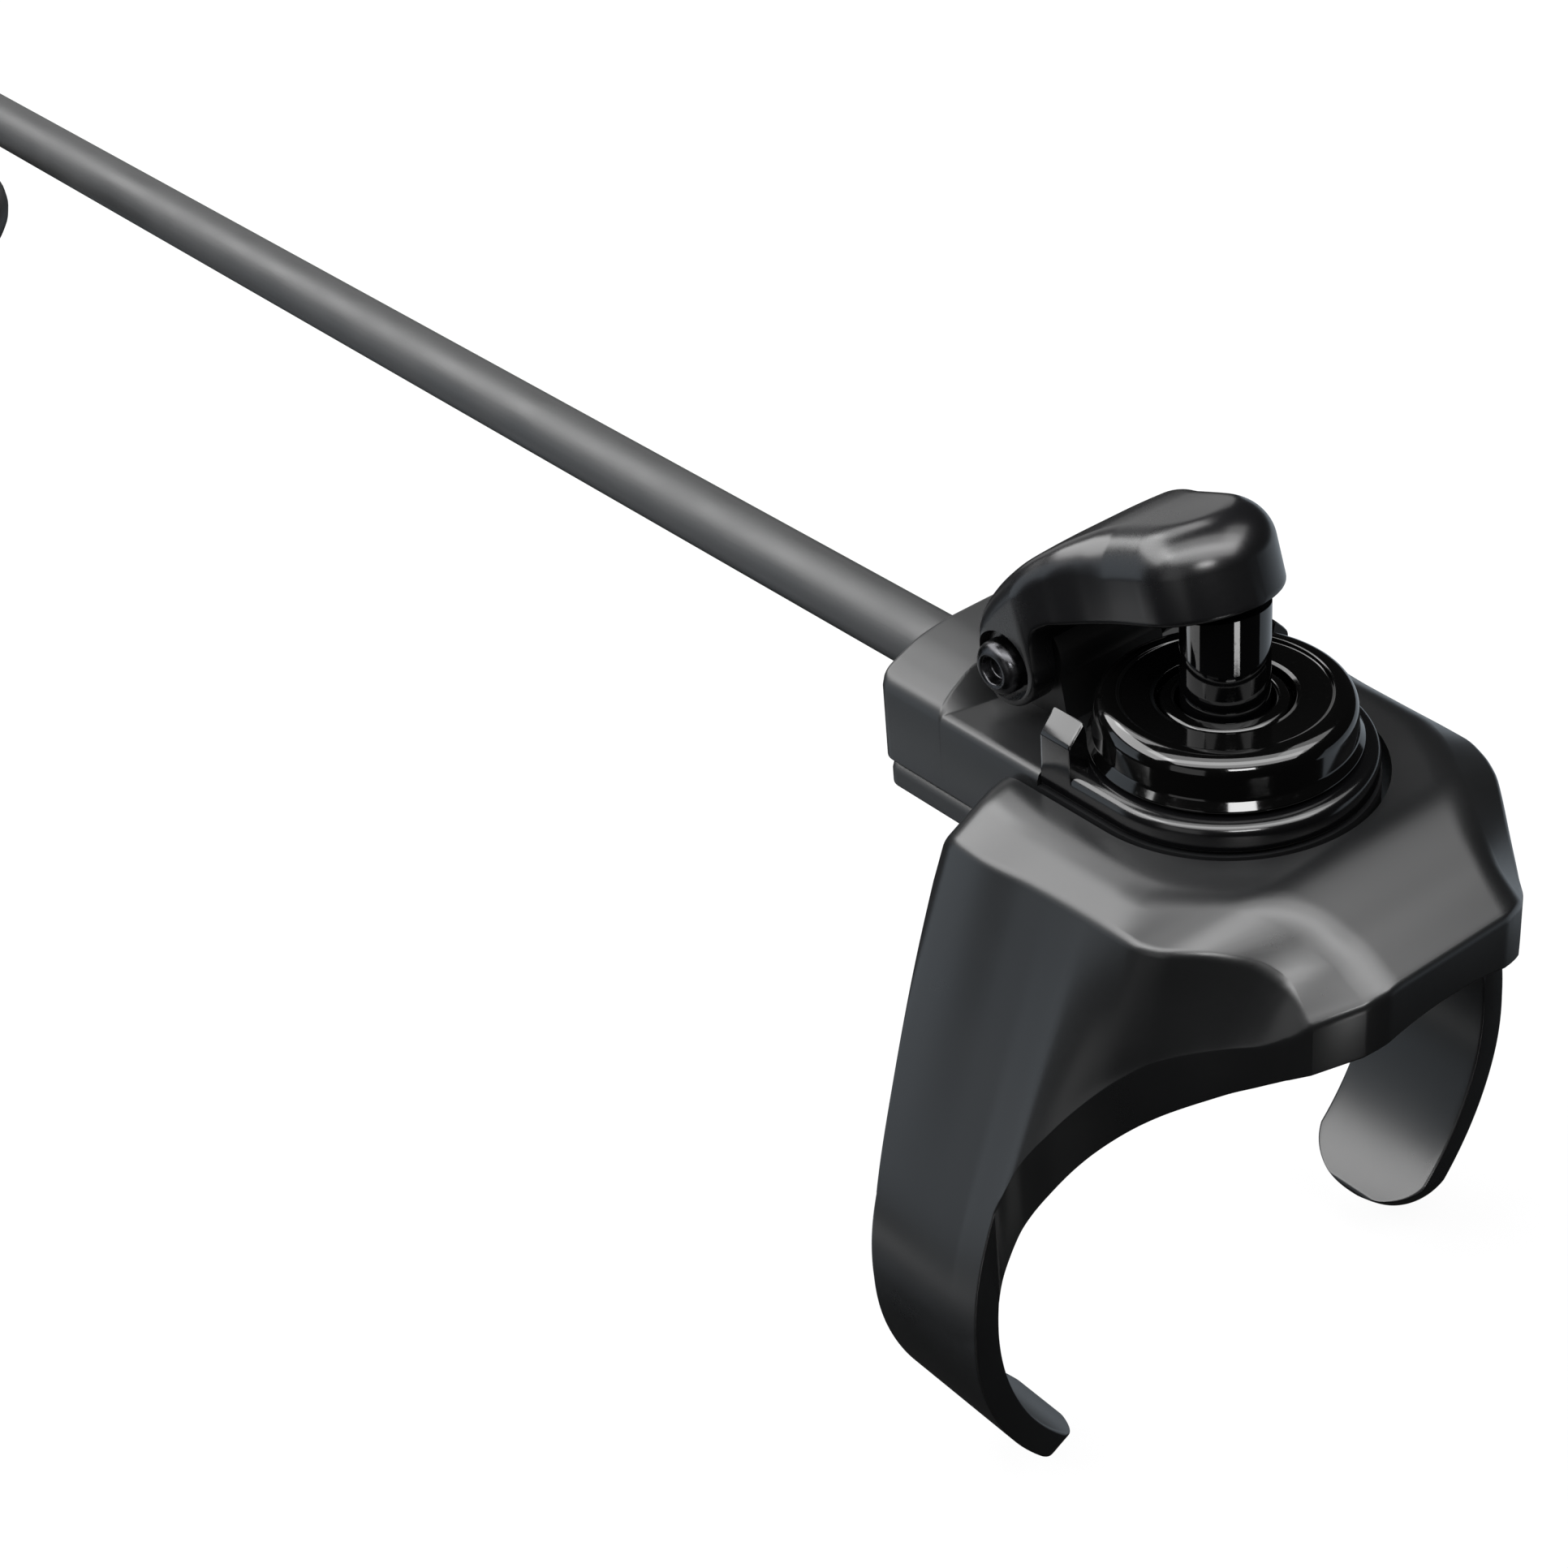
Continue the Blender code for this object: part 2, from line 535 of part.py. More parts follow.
def bottom_cover(material):
    half = BLOCK_HALF_WIDTH - COVER_INSET
    back = BLOCK_BACK_X + COVER_INSET
    rim_z = BLOCK_SPLIT_Z - INNER_GAP
    cover = prism("bottom_cover", nose_outline(half, back, 33), "Z", COVER_BOTTOM_Z, rim_z, material)
    cut(cover, prism("tray", chamber_outline(), "Z", COVER_BOTTOM_Z + COVER_FLOOR, rim_z + MM))
    cut(cover, cable_way())
    for x, y in cover_screw_places():
        hole = COVER_SCREW_RADIUS + INNER_GAP
        head = COVER_SCREW_HEAD + INNER_GAP
        cut(cover, turned("screw_hole", [(0, COVER_BOTTOM_Z - MM), (head, COVER_BOTTOM_Z - MM),
                                         (head, COVER_BOTTOM_Z + 0.45 * MM), (hole, COVER_BOTTOM_Z + 0.45 * MM),
                                         (hole, rim_z + MM), (0, rim_z + MM)],
                          centre=(x, y, 0), steps=16))
    return cover


def cover_screw(name, place, material):
    """Small flat-head screw that holds the bottom cover."""
    head_low = COVER_BOTTOM_Z + 0.05 * MM
    head_top = head_low + 0.25 * MM
    profile = [(0, head_low + 0.12 * MM), (0.3 * MM, head_low + 0.12 * MM), (0.3 * MM, head_low),
               (COVER_SCREW_HEAD, head_low), (COVER_SCREW_HEAD, head_top), (COVER_SCREW_RADIUS, head_top),
               (COVER_SCREW_RADIUS, COVER_SCREW_END_Z - 0.1 * MM), (0, COVER_SCREW_END_Z)]
    return turned(name, profile, material, centre=(*place, 0.0), steps=12)


def nose_cover(material):
    """Flange over the block's nose, with an upright tab on each side."""
    bottom = BLOCK_NOSE_Z + INNER_GAP
    back = NOSE_STEP_X + INNER_GAP
    cover = prism("nose_cover", nose_outline(NOSE_RADIUS, back, 33), "Z", bottom, NOSE_TOP_Z, material)
    for side in (-1.0, 1.0):
        tab = [
            (side * NOSE_RADIUS, NOSE_TOP_Z - 0.5 * MM),
            (side * NOSE_RADIUS, NOSE_TOP_Z + TAB_HEIGHT - 0.25 * MM),
            (side * (NOSE_RADIUS - 0.2 * MM), NOSE_TOP_Z + TAB_HEIGHT),
            (side * (NOSE_RADIUS - 0.65 * MM), NOSE_TOP_Z + TAB_HEIGHT + 0.45 * MM),
            (side * (NOSE_RADIUS - 0.75 * MM), NOSE_TOP_Z + TAB_HEIGHT),
            (side * (NOSE_RADIUS - 0.85 * MM), NOSE_TOP_Z - 0.5 * MM),
        ]
        join(cover, prism("tab", tab, "X", back, back + TAB_LENGTH))
    seat = BOOT_BASE_RADIUS - 0.15 * MM
    neck = seat - 0.4 * MM
    cut(cover, turned("boot_seat", [(0, bottom - MM), (seat, bottom - MM), (seat, bottom + 0.45 * MM),
                                    (neck, bottom + 0.45 * MM), (neck, BOOT_TOP_Z), (0, BOOT_TOP_Z)],
                      steps=48))
    return cover


def button_boot(material):
    """Glossy moulded tower around the plunger, clamped at its foot under the nose cover."""
    foot_z = BLOCK_NOSE_Z + 1.3 * INNER_GAP
    foot_radius = BOOT_BASE_RADIUS - 0.3 * MM
    neck = foot_radius - 0.4 * MM
    shoulder = BOOT_SHOULDER_RADIUS
    base_z = NOSE_TOP_Z + INNER_GAP
    inner = BOOT_INNER_RADIUS
    roof_z = BOOT_TOP_Z - BOOT_WALL
    profile = [
        (inner, foot_z), (foot_radius, foot_z), (foot_radius, foot_z + 0.3 * MM), (neck, foot_z + 0.3 * MM),
        (neck, base_z), (BOOT_BASE_RADIUS, base_z), (BOOT_BASE_RADIUS, base_z + 0.2 * MM),
        (BOOT_BASE_RADIUS - 0.06 * MM, base_z + 0.45 * MM),
        (BOOT_BASE_RADIUS - 0.14 * MM, base_z + 0.85 * MM),
        (shoulder + 0.33 * MM, BOOT_TOP_Z - 0.5 * MM), (shoulder + 0.2 * MM, BOOT_TOP_Z - 0.24 * MM),
        (shoulder, BOOT_TOP_Z - 0.08 * MM), (shoulder - 0.25 * MM, BOOT_TOP_Z),
        (shoulder - 0.55 * MM, BOOT_TOP_Z - 0.02 * MM), (BOOT_HOLE_RADIUS + 0.4 * MM, BOOT_TOP_Z - 0.12 * MM),
        (BOOT_HOLE_RADIUS + 0.12 * MM, BOOT_TOP_Z),
        (BOOT_HOLE_RADIUS, BOOT_TOP_Z - 0.03 * MM), (BOOT_HOLE_RADIUS, roof_z), (inner, roof_z),
    ]
    return turned("button_boot", profile, material, steps=48)


def wiper_seal(material):
    inner = PLUNGER_RADIUS + INNER_GAP
    outer = BOOT_HOLE_RADIUS - INNER_GAP
    flange = BOOT_HOLE_RADIUS + 0.5 * MM
    top = BOOT_TOP_Z - 0.15 * MM
    roof = BOOT_TOP_Z - BOOT_WALL - INNER_GAP
    profile = [(inner, roof - 0.2 * MM), (flange, roof - 0.2 * MM), (flange, roof), (outer, roof),
               (outer, top - 0.1 * MM), (outer - 0.1 * MM, top), (inner + 0.12 * MM, top + 0.06 * MM),
               (inner, top)]
    return turned("wiper_seal", profile, material, steps=32)


def underside_height():
    """World height of the cap's flat underside straight above the plunger."""
    reach_x = PIVOT_X + CAP_REACH * math.cos(LEVER_PITCH) - LEVER_UNDERSIDE * math.sin(LEVER_PITCH)
    reach_z = PIVOT_Z + CAP_REACH * math.sin(LEVER_PITCH) + LEVER_UNDERSIDE * math.cos(LEVER_PITCH)
    return reach_z - reach_x * math.tan(LEVER_PITCH)


def plunger(material):
    """Round push rod with a domed head, which the lever's underside presses."""
    ball_z = underside_height() - (PLUNGER_DOME_RADIUS + SEAT_GAP) / math.cos(LEVER_PITCH)
    rim = math.degrees(math.acos(PLUNGER_RADIUS / PLUNGER_DOME_RADIUS))
    dome = arc((0.0, ball_z), PLUNGER_DOME_RADIUS, rim, 90.0, 6)
    dome[-1] = (0.0, dome[-1][1])
    flange_z = PLUNGER_BOTTOM_Z + 0.3 * MM
    profile = [(0.0, PLUNGER_BOTTOM_Z), (1.0 * MM, PLUNGER_BOTTOM_Z), (1.0 * MM, flange_z),
               (PLUNGER_FLANGE_RADIUS, flange_z), (PLUNGER_FLANGE_RADIUS, flange_z + 0.35 * MM),
               (PLUNGER_RADIUS, flange_z + 0.35 * MM)] + dome
    return turned("plunger", profile, material, steps=32)


def lever_frame():
    """Pivot frame of the lever at rest: x along its underside, z out of its top."""
    return Matrix.Translation((PIVOT_X, 0.0, PIVOT_Z)) @ Matrix.Rotation(-LEVER_PITCH, 4, "Y")


def lever(material):
    """Moulded lever: forked ears at the pivot, an arm, and a thimble cap over the plunger."""
    nose_x = CAP_REACH + CAP_RADIUS
    top_z = LEVER_UNDERSIDE + CAP_HEIGHT
    top = smooth_keys([
        (-EAR_RADIUS, 0.35 * MM),
        (-1.3 * MM, 0.95 * MM),
        (-0.77 * MM, 1.70 * MM),
        (0.03 * MM, 2.35 * MM),
        (1.0 * MM, 2.80 * MM),
        (2.06 * MM, 3.18 * MM),
        (4.59 * MM, 4.10 * MM),
        (CAP_REACH - 0.5 * MM, top_z - 0.06 * MM),
        (CAP_REACH + CAP_CROWN, top_z),
    ])
    width = smooth_keys([
        (-EAR_RADIUS, EAR_HALF_WIDTH - 0.25 * MM),
        (-0.6 * MM, EAR_HALF_WIDTH),
        (1.4 * MM, EAR_HALF_WIDTH),
        (4.2 * MM, 2.55 * MM),
        (5.0 * MM, 2.4 * MM),
        (CAP_REACH, CAP_RADIUS),
    ])
    underside = smooth_keys([
        (EAR_RADIUS, -0.05 * MM),
        (EAR_RADIUS + 0.12 * MM, 0.75 * MM),
        (EAR_RADIUS + 0.45 * MM, 1.3 * MM),
        (EAR_RADIUS + 0.95 * MM, LEVER_UNDERSIDE),
    ])

    def half_width(x):
        if x > CAP_REACH:
            return math.sqrt(max(CAP_RADIUS ** 2 - (x - CAP_REACH) ** 2, 0.0))
        ball = math.sqrt(max(CAP_RADIUS ** 2 - (x - CAP_REACH) ** 2, 0.0))
        return max(width(x), ball)

    def top_height(x):
        if x <= CAP_REACH + CAP_CROWN:
            return top(x)
        t = (x - CAP_REACH - CAP_CROWN) / (CAP_RADIUS - CAP_CROWN)
        return LEVER_UNDERSIDE + CAP_HEIGHT * (1.0 - t ** 2.2) ** 0.5

    def bottom_height(x):
        if x < EAR_RADIUS:
            return -math.sqrt(max(EAR_RADIUS ** 2 - x * x, 0.0))
        return underside(x)

    def section(x):
        half = half_width(x)
        high = top_height(x)
        low = bottom_height(x)
        shoulder = max(low + 0.05 * MM, high - 1.5 * MM)
        crown = []
        for angle in np.linspace(0.0, math.pi, 19):
            y = half * math.copysign(abs(math.cos(angle)) ** 0.62, math.cos(angle))
            z = shoulder + (high - shoulder) * math.sin(angle) ** 0.62
            crown.append((y, z))
        return [(-half, low)] + [(half, low)] + crown

    stations = np.concatenate((
        EAR_RADIUS * np.cos(np.linspace(math.pi, 0.0, 13)),
        EAR_RADIUS + np.array([0.06, 0.15, 0.3, 0.6, 0.95, 1.6, 2.4, 3.2, 4.0]) * MM,
        CAP_REACH + CAP_RADIUS * np.sin(np.radians(np.array([-15, 0, 15, 30, 42, 54, 65, 75, 83]))),
    ))
    stations[0] += 0.01 * MM
    rings = [[Vector((x, y, z)) for y, z in section(x)] for x in stations]
    arm = loft("lever", rings, material)

    slot = arc((0.0, 0.0), LUG_RADIUS + SEAT_GAP, 180.0, 0.0, 17)
    slot += [(LUG_RADIUS + SEAT_GAP, -4.0 * MM), (-LUG_RADIUS - SEAT_GAP, -4.0 * MM)]
    slot_half = LUG_HALF_WIDTH + SEAT_GAP
    cut(arm, prism("fork_slot", slot, "Y", -slot_half, slot_half))
    bore = PIN_RADIUS + INNER_GAP
    cut(arm, turned("pin_hole", [(0, -5 * MM), (bore, -5 * MM), (bore, 5 * MM), (0, 5 * MM)],
                    axis="Y", steps=32))
    recess = -EAR_HALF_WIDTH + COUNTERBORE_DEPTH
    cut(arm, turned("counterbore", [(0, -5 * MM), (COUNTERBORE_RADIUS, -5 * MM),
                                    (COUNTERBORE_RADIUS, recess), (0, recess)], axis="Y", steps=32))
    core = [(2.7 * MM, -1.6 * MM), (3.0 * MM, -1.8 * MM), (4.2 * MM, -1.5 * MM), (4.2 * MM, 1.5 * MM),
            (3.0 * MM, 1.8 * MM), (2.7 * MM, 1.6 * MM)]
    cut(arm, prism("core", core, "Z", 0.0, LEVER_UNDERSIDE + 1.0 * MM))
    arm.matrix_world = lever_frame()
    return arm


def pivot_screw(material):
    """Shouldered screw through the fork and the lug, with a round socket head."""
    face = -EAR_HALF_WIDTH - PIN_HEAD_PROUD
    under = -EAR_HALF_WIDTH + COUNTERBORE_DEPTH - INNER_GAP
    socket = 0.42 * MM
    end = EAR_HALF_WIDTH - 0.1 * MM
    profile = [(0.0, face + 0.45 * MM), (socket, face + 0.4 * MM), (socket + 0.08 * MM, face + 0.04 * MM),
               (0.62 * MM, face), (PIN_HEAD_RADIUS - 0.12 * MM, face + 0.1 * MM),
               (PIN_HEAD_RADIUS, face + 0.28 * MM), (PIN_HEAD_RADIUS, under), (PIN_RADIUS, under),
               (PIN_RADIUS, end - 0.1 * MM), (PIN_RADIUS - 0.1 * MM, end), (0.0, end)]
    screw = turned("pivot_screw", profile, material, axis="Y", steps=24)
    screw.matrix_world = lever_frame()
    return screw


def circuit_board(material):
    outline = nose_outline(BLOCK_HALF_WIDTH - BLOCK_WALL - INNER_GAP, BOARD_BACK_X, 25)
    return prism("circuit_board", outline, "Z", BOARD_BOTTOM_Z, BOARD_BOTTOM_Z + BOARD_THICKNESS, material)


def square(half, corner=0.6 * MM):
    """A square outline with cut corners."""
    inner = half - corner
    return [(-half, -inner), (-inner, -half), (inner, -half), (half, -inner),
            (half, inner), (inner, half), (-inner, half), (-half, inner)]


def switch_base(material):
    base = prism("switch_base", square(SWITCH_HALF_SIZE), "Z", SWITCH_BOTTOM_Z, SWITCH_TOP_Z, material)
    well = SWITCH_WELL_RADIUS
    cut(base, turned("well", [(0, SWITCH_WELL_Z), (well, SWITCH_WELL_Z), (well, SWITCH_TOP_Z + MM),
                              (0, SWITCH_TOP_Z + MM)], steps=40))
    return base


def switch_frame(material):
    """Bent sheet cover of the switch, with a hole for the stem."""
    low = SWITCH_TOP_Z + INNER_GAP
    high = low + FRAME_THICKNESS
    half = SWITCH_HALF_SIZE + INNER_GAP + FRAME_THICKNESS
    leg = SWITCH_HALF_SIZE + INNER_GAP
    foot = SWITCH_BOTTOM_Z + 0.55 * MM
    outline = [(-half, foot), (-leg, foot), (-leg, low), (leg, low), (leg, foot),
               (half, foot), (half, high), (-half, high)]
    frame = prism("switch_frame", outline, "X", -FRAME_HALF_WIDTH, FRAME_HALF_WIDTH, material)
    hole = STEM_RADIUS + INNER_GAP
    cut(frame, turned("stem_hole", [(0, low - MM), (hole, low - MM), (hole, high + MM), (0, high + MM)],
                      steps=32))
    return frame


def snap_dome(material):
    """Thin sprung dome that clicks under the stem."""
    low = SWITCH_WELL_Z + INNER_GAP
    high = SWITCH_TOP_Z - 0.35 * MM
    radius = SWITCH_WELL_RADIUS - INNER_GAP
    rise = high - low
    outer = [(radius * math.cos(a), low + rise * math.sin(a)) for a in np.radians(np.linspace(0, 90, 9))]
    inner = [((radius - DOME_THICKNESS) * math.cos(a), low + (rise - DOME_THICKNESS) * math.sin(a))
             for a in np.radians(np.linspace(90, 0, 9))]
    outer[-1] = (0.0, high)
    inner[0] = (0.0, high - DOME_THICKNESS)
    return turned("snap_dome", outer + inner, material, steps=24)


def switch_stem(material):
    low = SWITCH_TOP_Z - 0.2 * MM
    top = PLUNGER_BOTTOM_Z - INNER_GAP
    profile = [(0.0, low), (STEM_FLANGE_RADIUS, low), (STEM_FLANGE_RADIUS, low + STEM_FLANGE),
               (STEM_RADIUS, low + STEM_FLANGE), (STEM_RADIUS, top - 0.1 * MM),
               (STEM_RADIUS - 0.1 * MM, top), (0.0, top)]
    return turned("switch_stem", profile, material, steps=24)


def cable_ferrule(material):
    """Thin crimped ring that keeps the cable from pulling out of the block."""
    inner = CABLE_RADIUS + 0.1 * MM
    outer = inner + FERRULE_WALL
    start = CHAMBER_BACK_X + INNER_GAP
    profile = [(inner, start), (outer, start), (outer, start + FERRULE_LENGTH), (inner, start + FERRULE_LENGTH)]
    return turned("cable_ferrule", profile, material, centre=(0, 0, CABLE_Z), axis="X", steps=32)


def tube(name, points, radius, material, resolution=2):
    """A round cord along a list of points, with flat filled ends."""
    curve = bpy.data.curves.new(name, "CURVE")
    curve.dimensions = "3D"
    curve.bevel_depth = radius
    curve.bevel_resolution = resolution
    curve.use_fill_caps = True
    spline = curve.splines.new("POLY")
    spline.points.add(len(points) - 1)
    for slot, point in zip(spline.points, points):
        slot.co = (*point, 1.0)
    spline.use_smooth = True
    curve.materials.append(material)
    obj = bpy.data.objects.new(name, curve)
    bpy.context.scene.collection.objects.link(obj)
    return obj


def through(route, count):
    """Evenly numbered points on a smooth curve through the route's own points."""
    points = [Vector(point) for point in route]
    points = [2 * points[0] - points[1]] + points + [2 * points[-1] - points[-2]]
    result = []
    spans = len(points) - 3
    for k in range(count):
        u = k * spans / (count - 1)
        i = min(int(u), spans - 1)
        t = u - i
        a, b, c, d = points[i:i + 4]
        result.append(0.5 * (2 * b + (c - a) * t + (2 * a - 5 * b + 4 * c - d) * t ** 2
                             + (3 * b - a - 3 * c + d) * t ** 3))
    return result


def signal_wire(name, side, material):
    """Insulated lead from the end of the cable down to the board."""
    pad_z = BOARD_BOTTOM_Z + BOARD_THICKNESS + INNER_GAP + WIRE_RADIUS
    y = side * 0.55 * MM
    route = [
        (CABLE_END_X + INNER_GAP, y, CABLE_Z),
        (CABLE_END_X + 0.8 * MM, y, CABLE_Z),
        (BOARD_BACK_X - 0.4 * MM, 1.6 * y, pad_z + 0.2 * MM),
        (BOARD_BACK_X + 0.9 * MM, 2.4 * y, pad_z),
        (BOARD_BACK_X + 2.4 * MM, 2.6 * y, pad_z),
    ]
    return tube(name, through(route, 13), WIRE_RADIUS, material)


def cable(material):
    """Straight run from inside the block to just before the coil."""
    coil_outer = COIL_RADIUS + 1.04 * CABLE_RADIUS
    near_side = COIL_RADIUS - CABLE_RADIUS
    reach = math.sqrt(coil_outer ** 2 - near_side ** 2) + SEAT_GAP
    route = [(x, 0.0, CABLE_Z) for x in np.linspace(CABLE_END_X, COIL_X + reach, 14)]
    return tube("cable", route, CABLE_RADIUS, material)


def cable_coil(material):
    """Outer form of the wound part of the cable."""
    margin = 1.04 * CABLE_RADIUS
    low = CABLE_Z - COIL_TURNS * TURN_PITCH - margin
    high = CABLE_Z + margin
    profile = [(COIL_RADIUS - margin, low), (COIL_RADIUS + margin, low), (COIL_RADIUS + margin, high),
               (COIL_RADIUS - margin, high)]
    return turned("cable_coil", profile, material, centre=(COIL_X, -COIL_RADIUS, 0), steps=48)


def cable_tail(material):
    """Short free end between the coil and the plug."""
    tail_z = CABLE_Z - COIL_TURNS * TURN_PITCH
    coil_outer = COIL_RADIUS + 1.04 * CABLE_RADIUS
    near_side = COIL_RADIUS - CABLE_RADIUS
    reach = math.sqrt(coil_outer ** 2 - near_side ** 2) + SEAT_GAP
    route = [(x, 0.0, tail_z) for x in np.linspace(COIL_X - reach, TAIL_END_X, 3)]
    return tube("cable_tail", route, CABLE_RADIUS, material)


def coil_tie(material):
    """Flat strap looped around the coil's turns."""
    margin = 1.04 * CABLE_RADIUS + SEAT_GAP
    low = CABLE_Z - COIL_TURNS * TURN_PITCH - margin
    high = CABLE_Z + margin
    middle_y = -2.0 * COIL_RADIUS
    outer = [(middle_y - margin - TIE_WALL, low - TIE_WALL), (middle_y + margin + TIE_WALL, low - TIE_WALL),
             (middle_y + margin + TIE_WALL, high + TIE_WALL), (middle_y - margin - TIE_WALL, high + TIE_WALL)]
    inner = [(middle_y - margin, low), (middle_y + margin + 0.25 * MM, low),
             (middle_y + margin + 0.25 * MM, high), (middle_y - margin, high)]
    half = 0.5 * TIE_WIDTH
    tie = prism("coil_tie", outer, "X", COIL_X - half, COIL_X + half, material)
    cut(tie, prism("strap_hole", inner, "X", COIL_X - TIE_WIDTH, COIL_X + TIE_WIDTH))
    return tie


def plug_body(material):
    """Round water-tight plug, with a socket at its far end."""
    z = CABLE_Z - COIL_TURNS * TURN_PITCH
    start = TAIL_END_X - SEAT_GAP
    end = start - PLUG_LENGTH
    profile = [(0.0, start), (1.6 * MM, start), (1.7 * MM, start - 1.5 * MM), (PLUG_RADIUS, start - 2.5 * MM),
               (PLUG_RADIUS, start - 7.0 * MM), (PLUG_RADIUS - 0.25 * MM, start - 7.2 * MM),
               (PLUG_RADIUS - 0.25 * MM, start - 7.4 * MM), (1.5 * MM, start - 7.5 * MM),
               (1.5 * MM, start - 8.3 * MM), (PLUG_RADIUS - 0.25 * MM, start - 8.4 * MM),
               (PLUG_RADIUS - 0.25 * MM, end), (1.35 * MM, end), (1.35 * MM, end + 3.5 * MM),
               (0.0, end + 3.5 * MM)]
    return turned("plug_body", profile, material, centre=(0, 0, z), axis="X", steps=28)


def plug_seal(material):
    z = CABLE_Z - COIL_TURNS * TURN_PITCH
    start = TAIL_END_X - SEAT_GAP - 7.55 * MM
    low = start - 0.7 * MM
    profile = [(1.5 * MM + INNER_GAP, low + 0.05 * MM), (1.5 * MM + INNER_GAP, start - 0.05 * MM),
               (2.0 * MM, start), (PLUG_RADIUS, start - 0.15 * MM), (PLUG_RADIUS, low + 0.15 * MM), (2.0 * MM, low)]
    return turned("plug_seal", profile, material, centre=(0, 0, z), axis="X", steps=28)


def plug_contact(name, side, material):
    """One of the pins inside the plug's socket."""
    z = CABLE_Z - COIL_TURNS * TURN_PITCH
    end = TAIL_END_X - SEAT_GAP - PLUG_LENGTH
    pin = 0.25 * MM
    root = end + 3.5 * MM - INNER_GAP
    profile = [(0.0, root), (pin, root), (pin, end + 1.0 * MM), (0.6 * pin, end + 0.85 * MM),
               (0.0, end + 0.85 * MM)]
    return turned(name, profile, material, centre=(0, side * 0.55 * MM, z), axis="X", steps=12)


def main():
    clear_scene()
    black = (0.021, 0.022, 0.023)
    clip_bracket(make_material("clip_plastic", black, 0.42))
    switch_housing(make_material("housing_plastic", black, 0.45))
    bottom_cover(make_material("cover_plastic", (0.017, 0.018, 0.019), 0.5))
    for number, place in enumerate(cover_screw_places(), 1):
        steel = make_material(f"cover_screw_steel_{number}", (0.05, 0.05, 0.052), 0.35, 1.0)
        cover_screw(f"cover_screw_{number}", place, steel)
    nose_cover(make_material("nose_plastic", (0.014, 0.014, 0.015), 0.3))
    button_boot(make_material("boot_rubber", (0.006, 0.006, 0.006), 0.16))
    wiper_seal(make_material("seal_rubber", (0.008, 0.008, 0.008), 0.35))
    plunger(make_material("plunger_plastic", (0.01, 0.01, 0.011), 0.2))
    lever(make_material("lever_plastic", (0.018, 0.018, 0.02), 0.36))
    pivot_screw(make_material("screw_steel", (0.03, 0.03, 0.03), 0.3, 0.6))
    circuit_board(make_material("board_laminate", (0.02, 0.09, 0.04), 0.5))
    switch_base(make_material("switch_nylon", (0.015, 0.015, 0.016), 0.5))
    switch_frame(make_material("frame_steel", (0.5, 0.5, 0.52), 0.3, 1.0))
    snap_dome(make_material("dome_steel", (0.6, 0.58, 0.55), 0.25, 1.0))
    switch_stem(make_material("stem_nylon", (0.5, 0.08, 0.05), 0.5))
    cable_ferrule(make_material("ferrule_brass", (0.45, 0.35, 0.18), 0.35, 1.0))
    signal_wire("signal_wire_near", -1.0, make_material("wire_red", (0.35, 0.03, 0.02), 0.5))
    signal_wire("signal_wire_far", 1.0, make_material("wire_white", (0.6, 0.6, 0.58), 0.5))
    cable(make_material("cable_jacket", (0.02, 0.02, 0.021), 0.55))
    cable_coil(make_material("coil_jacket", (0.02, 0.02, 0.021), 0.55))
    cable_tail(make_material("tail_jacket", (0.02, 0.02, 0.021), 0.55))
    coil_tie(make_material("tie_nylon", (0.015, 0.015, 0.015), 0.5))
    plug_body(make_material("plug_plastic", (0.017, 0.017, 0.018), 0.45))
    plug_seal(make_material("plug_rubber", (0.25, 0.05, 0.03), 0.5))
    for number, side in enumerate((-1.0, 1.0), 1):
        gold = make_material(f"contact_gold_{number}", (0.7, 0.5, 0.2), 0.3, 1.0)
        plug_contact(f"plug_contact_{number}", side, gold)


main()
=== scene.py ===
"""Remote sprint shifter: moulded clip, switch block, lever, glossy push button and its cable.

Shapes are worked out in millimetres and put into their meshes in metres.
The origin is on the handlebar's axis, straight below the push button, and +X runs along the bar.
"""

import math

import bmesh
import bpy
import numpy as np
from numpy.lib.stride_tricks import sliding_window_view
from mathutils import Matrix


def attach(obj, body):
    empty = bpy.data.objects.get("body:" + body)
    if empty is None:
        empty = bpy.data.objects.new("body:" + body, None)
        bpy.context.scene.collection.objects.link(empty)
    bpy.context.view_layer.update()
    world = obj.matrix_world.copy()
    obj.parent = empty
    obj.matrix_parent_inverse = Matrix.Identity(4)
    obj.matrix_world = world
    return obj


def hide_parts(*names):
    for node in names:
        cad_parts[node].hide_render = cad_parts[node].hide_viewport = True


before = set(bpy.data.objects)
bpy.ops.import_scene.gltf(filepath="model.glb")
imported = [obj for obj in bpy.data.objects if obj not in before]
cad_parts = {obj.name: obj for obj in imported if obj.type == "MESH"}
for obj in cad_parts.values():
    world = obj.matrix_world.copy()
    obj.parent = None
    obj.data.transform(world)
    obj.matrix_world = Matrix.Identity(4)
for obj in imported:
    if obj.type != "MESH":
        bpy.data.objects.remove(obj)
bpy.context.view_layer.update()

MM = 0.001

# Clip: the bar's radius, the height of the deck, and the ends of the deck and the arms along the bar
BAR_RADIUS = 12.0
DECK_Z = 16.2
CLIP_BACK_X = -5.0
CLIP_FRONT_X = 9.65
ARM_FRONT_X = 1.53
ARM_BACK_X = -3.8
ARM_WALL = 1.12
ARM_TIP_ANGLE = -45.0
ARM_FOOT_ANGLE = 13.0
# Radius at which lengths along the arm are measured
ARM_LENGTH_RADIUS = 13.1
# How far the roundings of the two creases reach, and the lines of the flat panel below them
LOWER_CREASE = 0.24
UPPER_CREASE = 0.75
PANEL_LINES = 60
POCKET_PLAY = 0.3
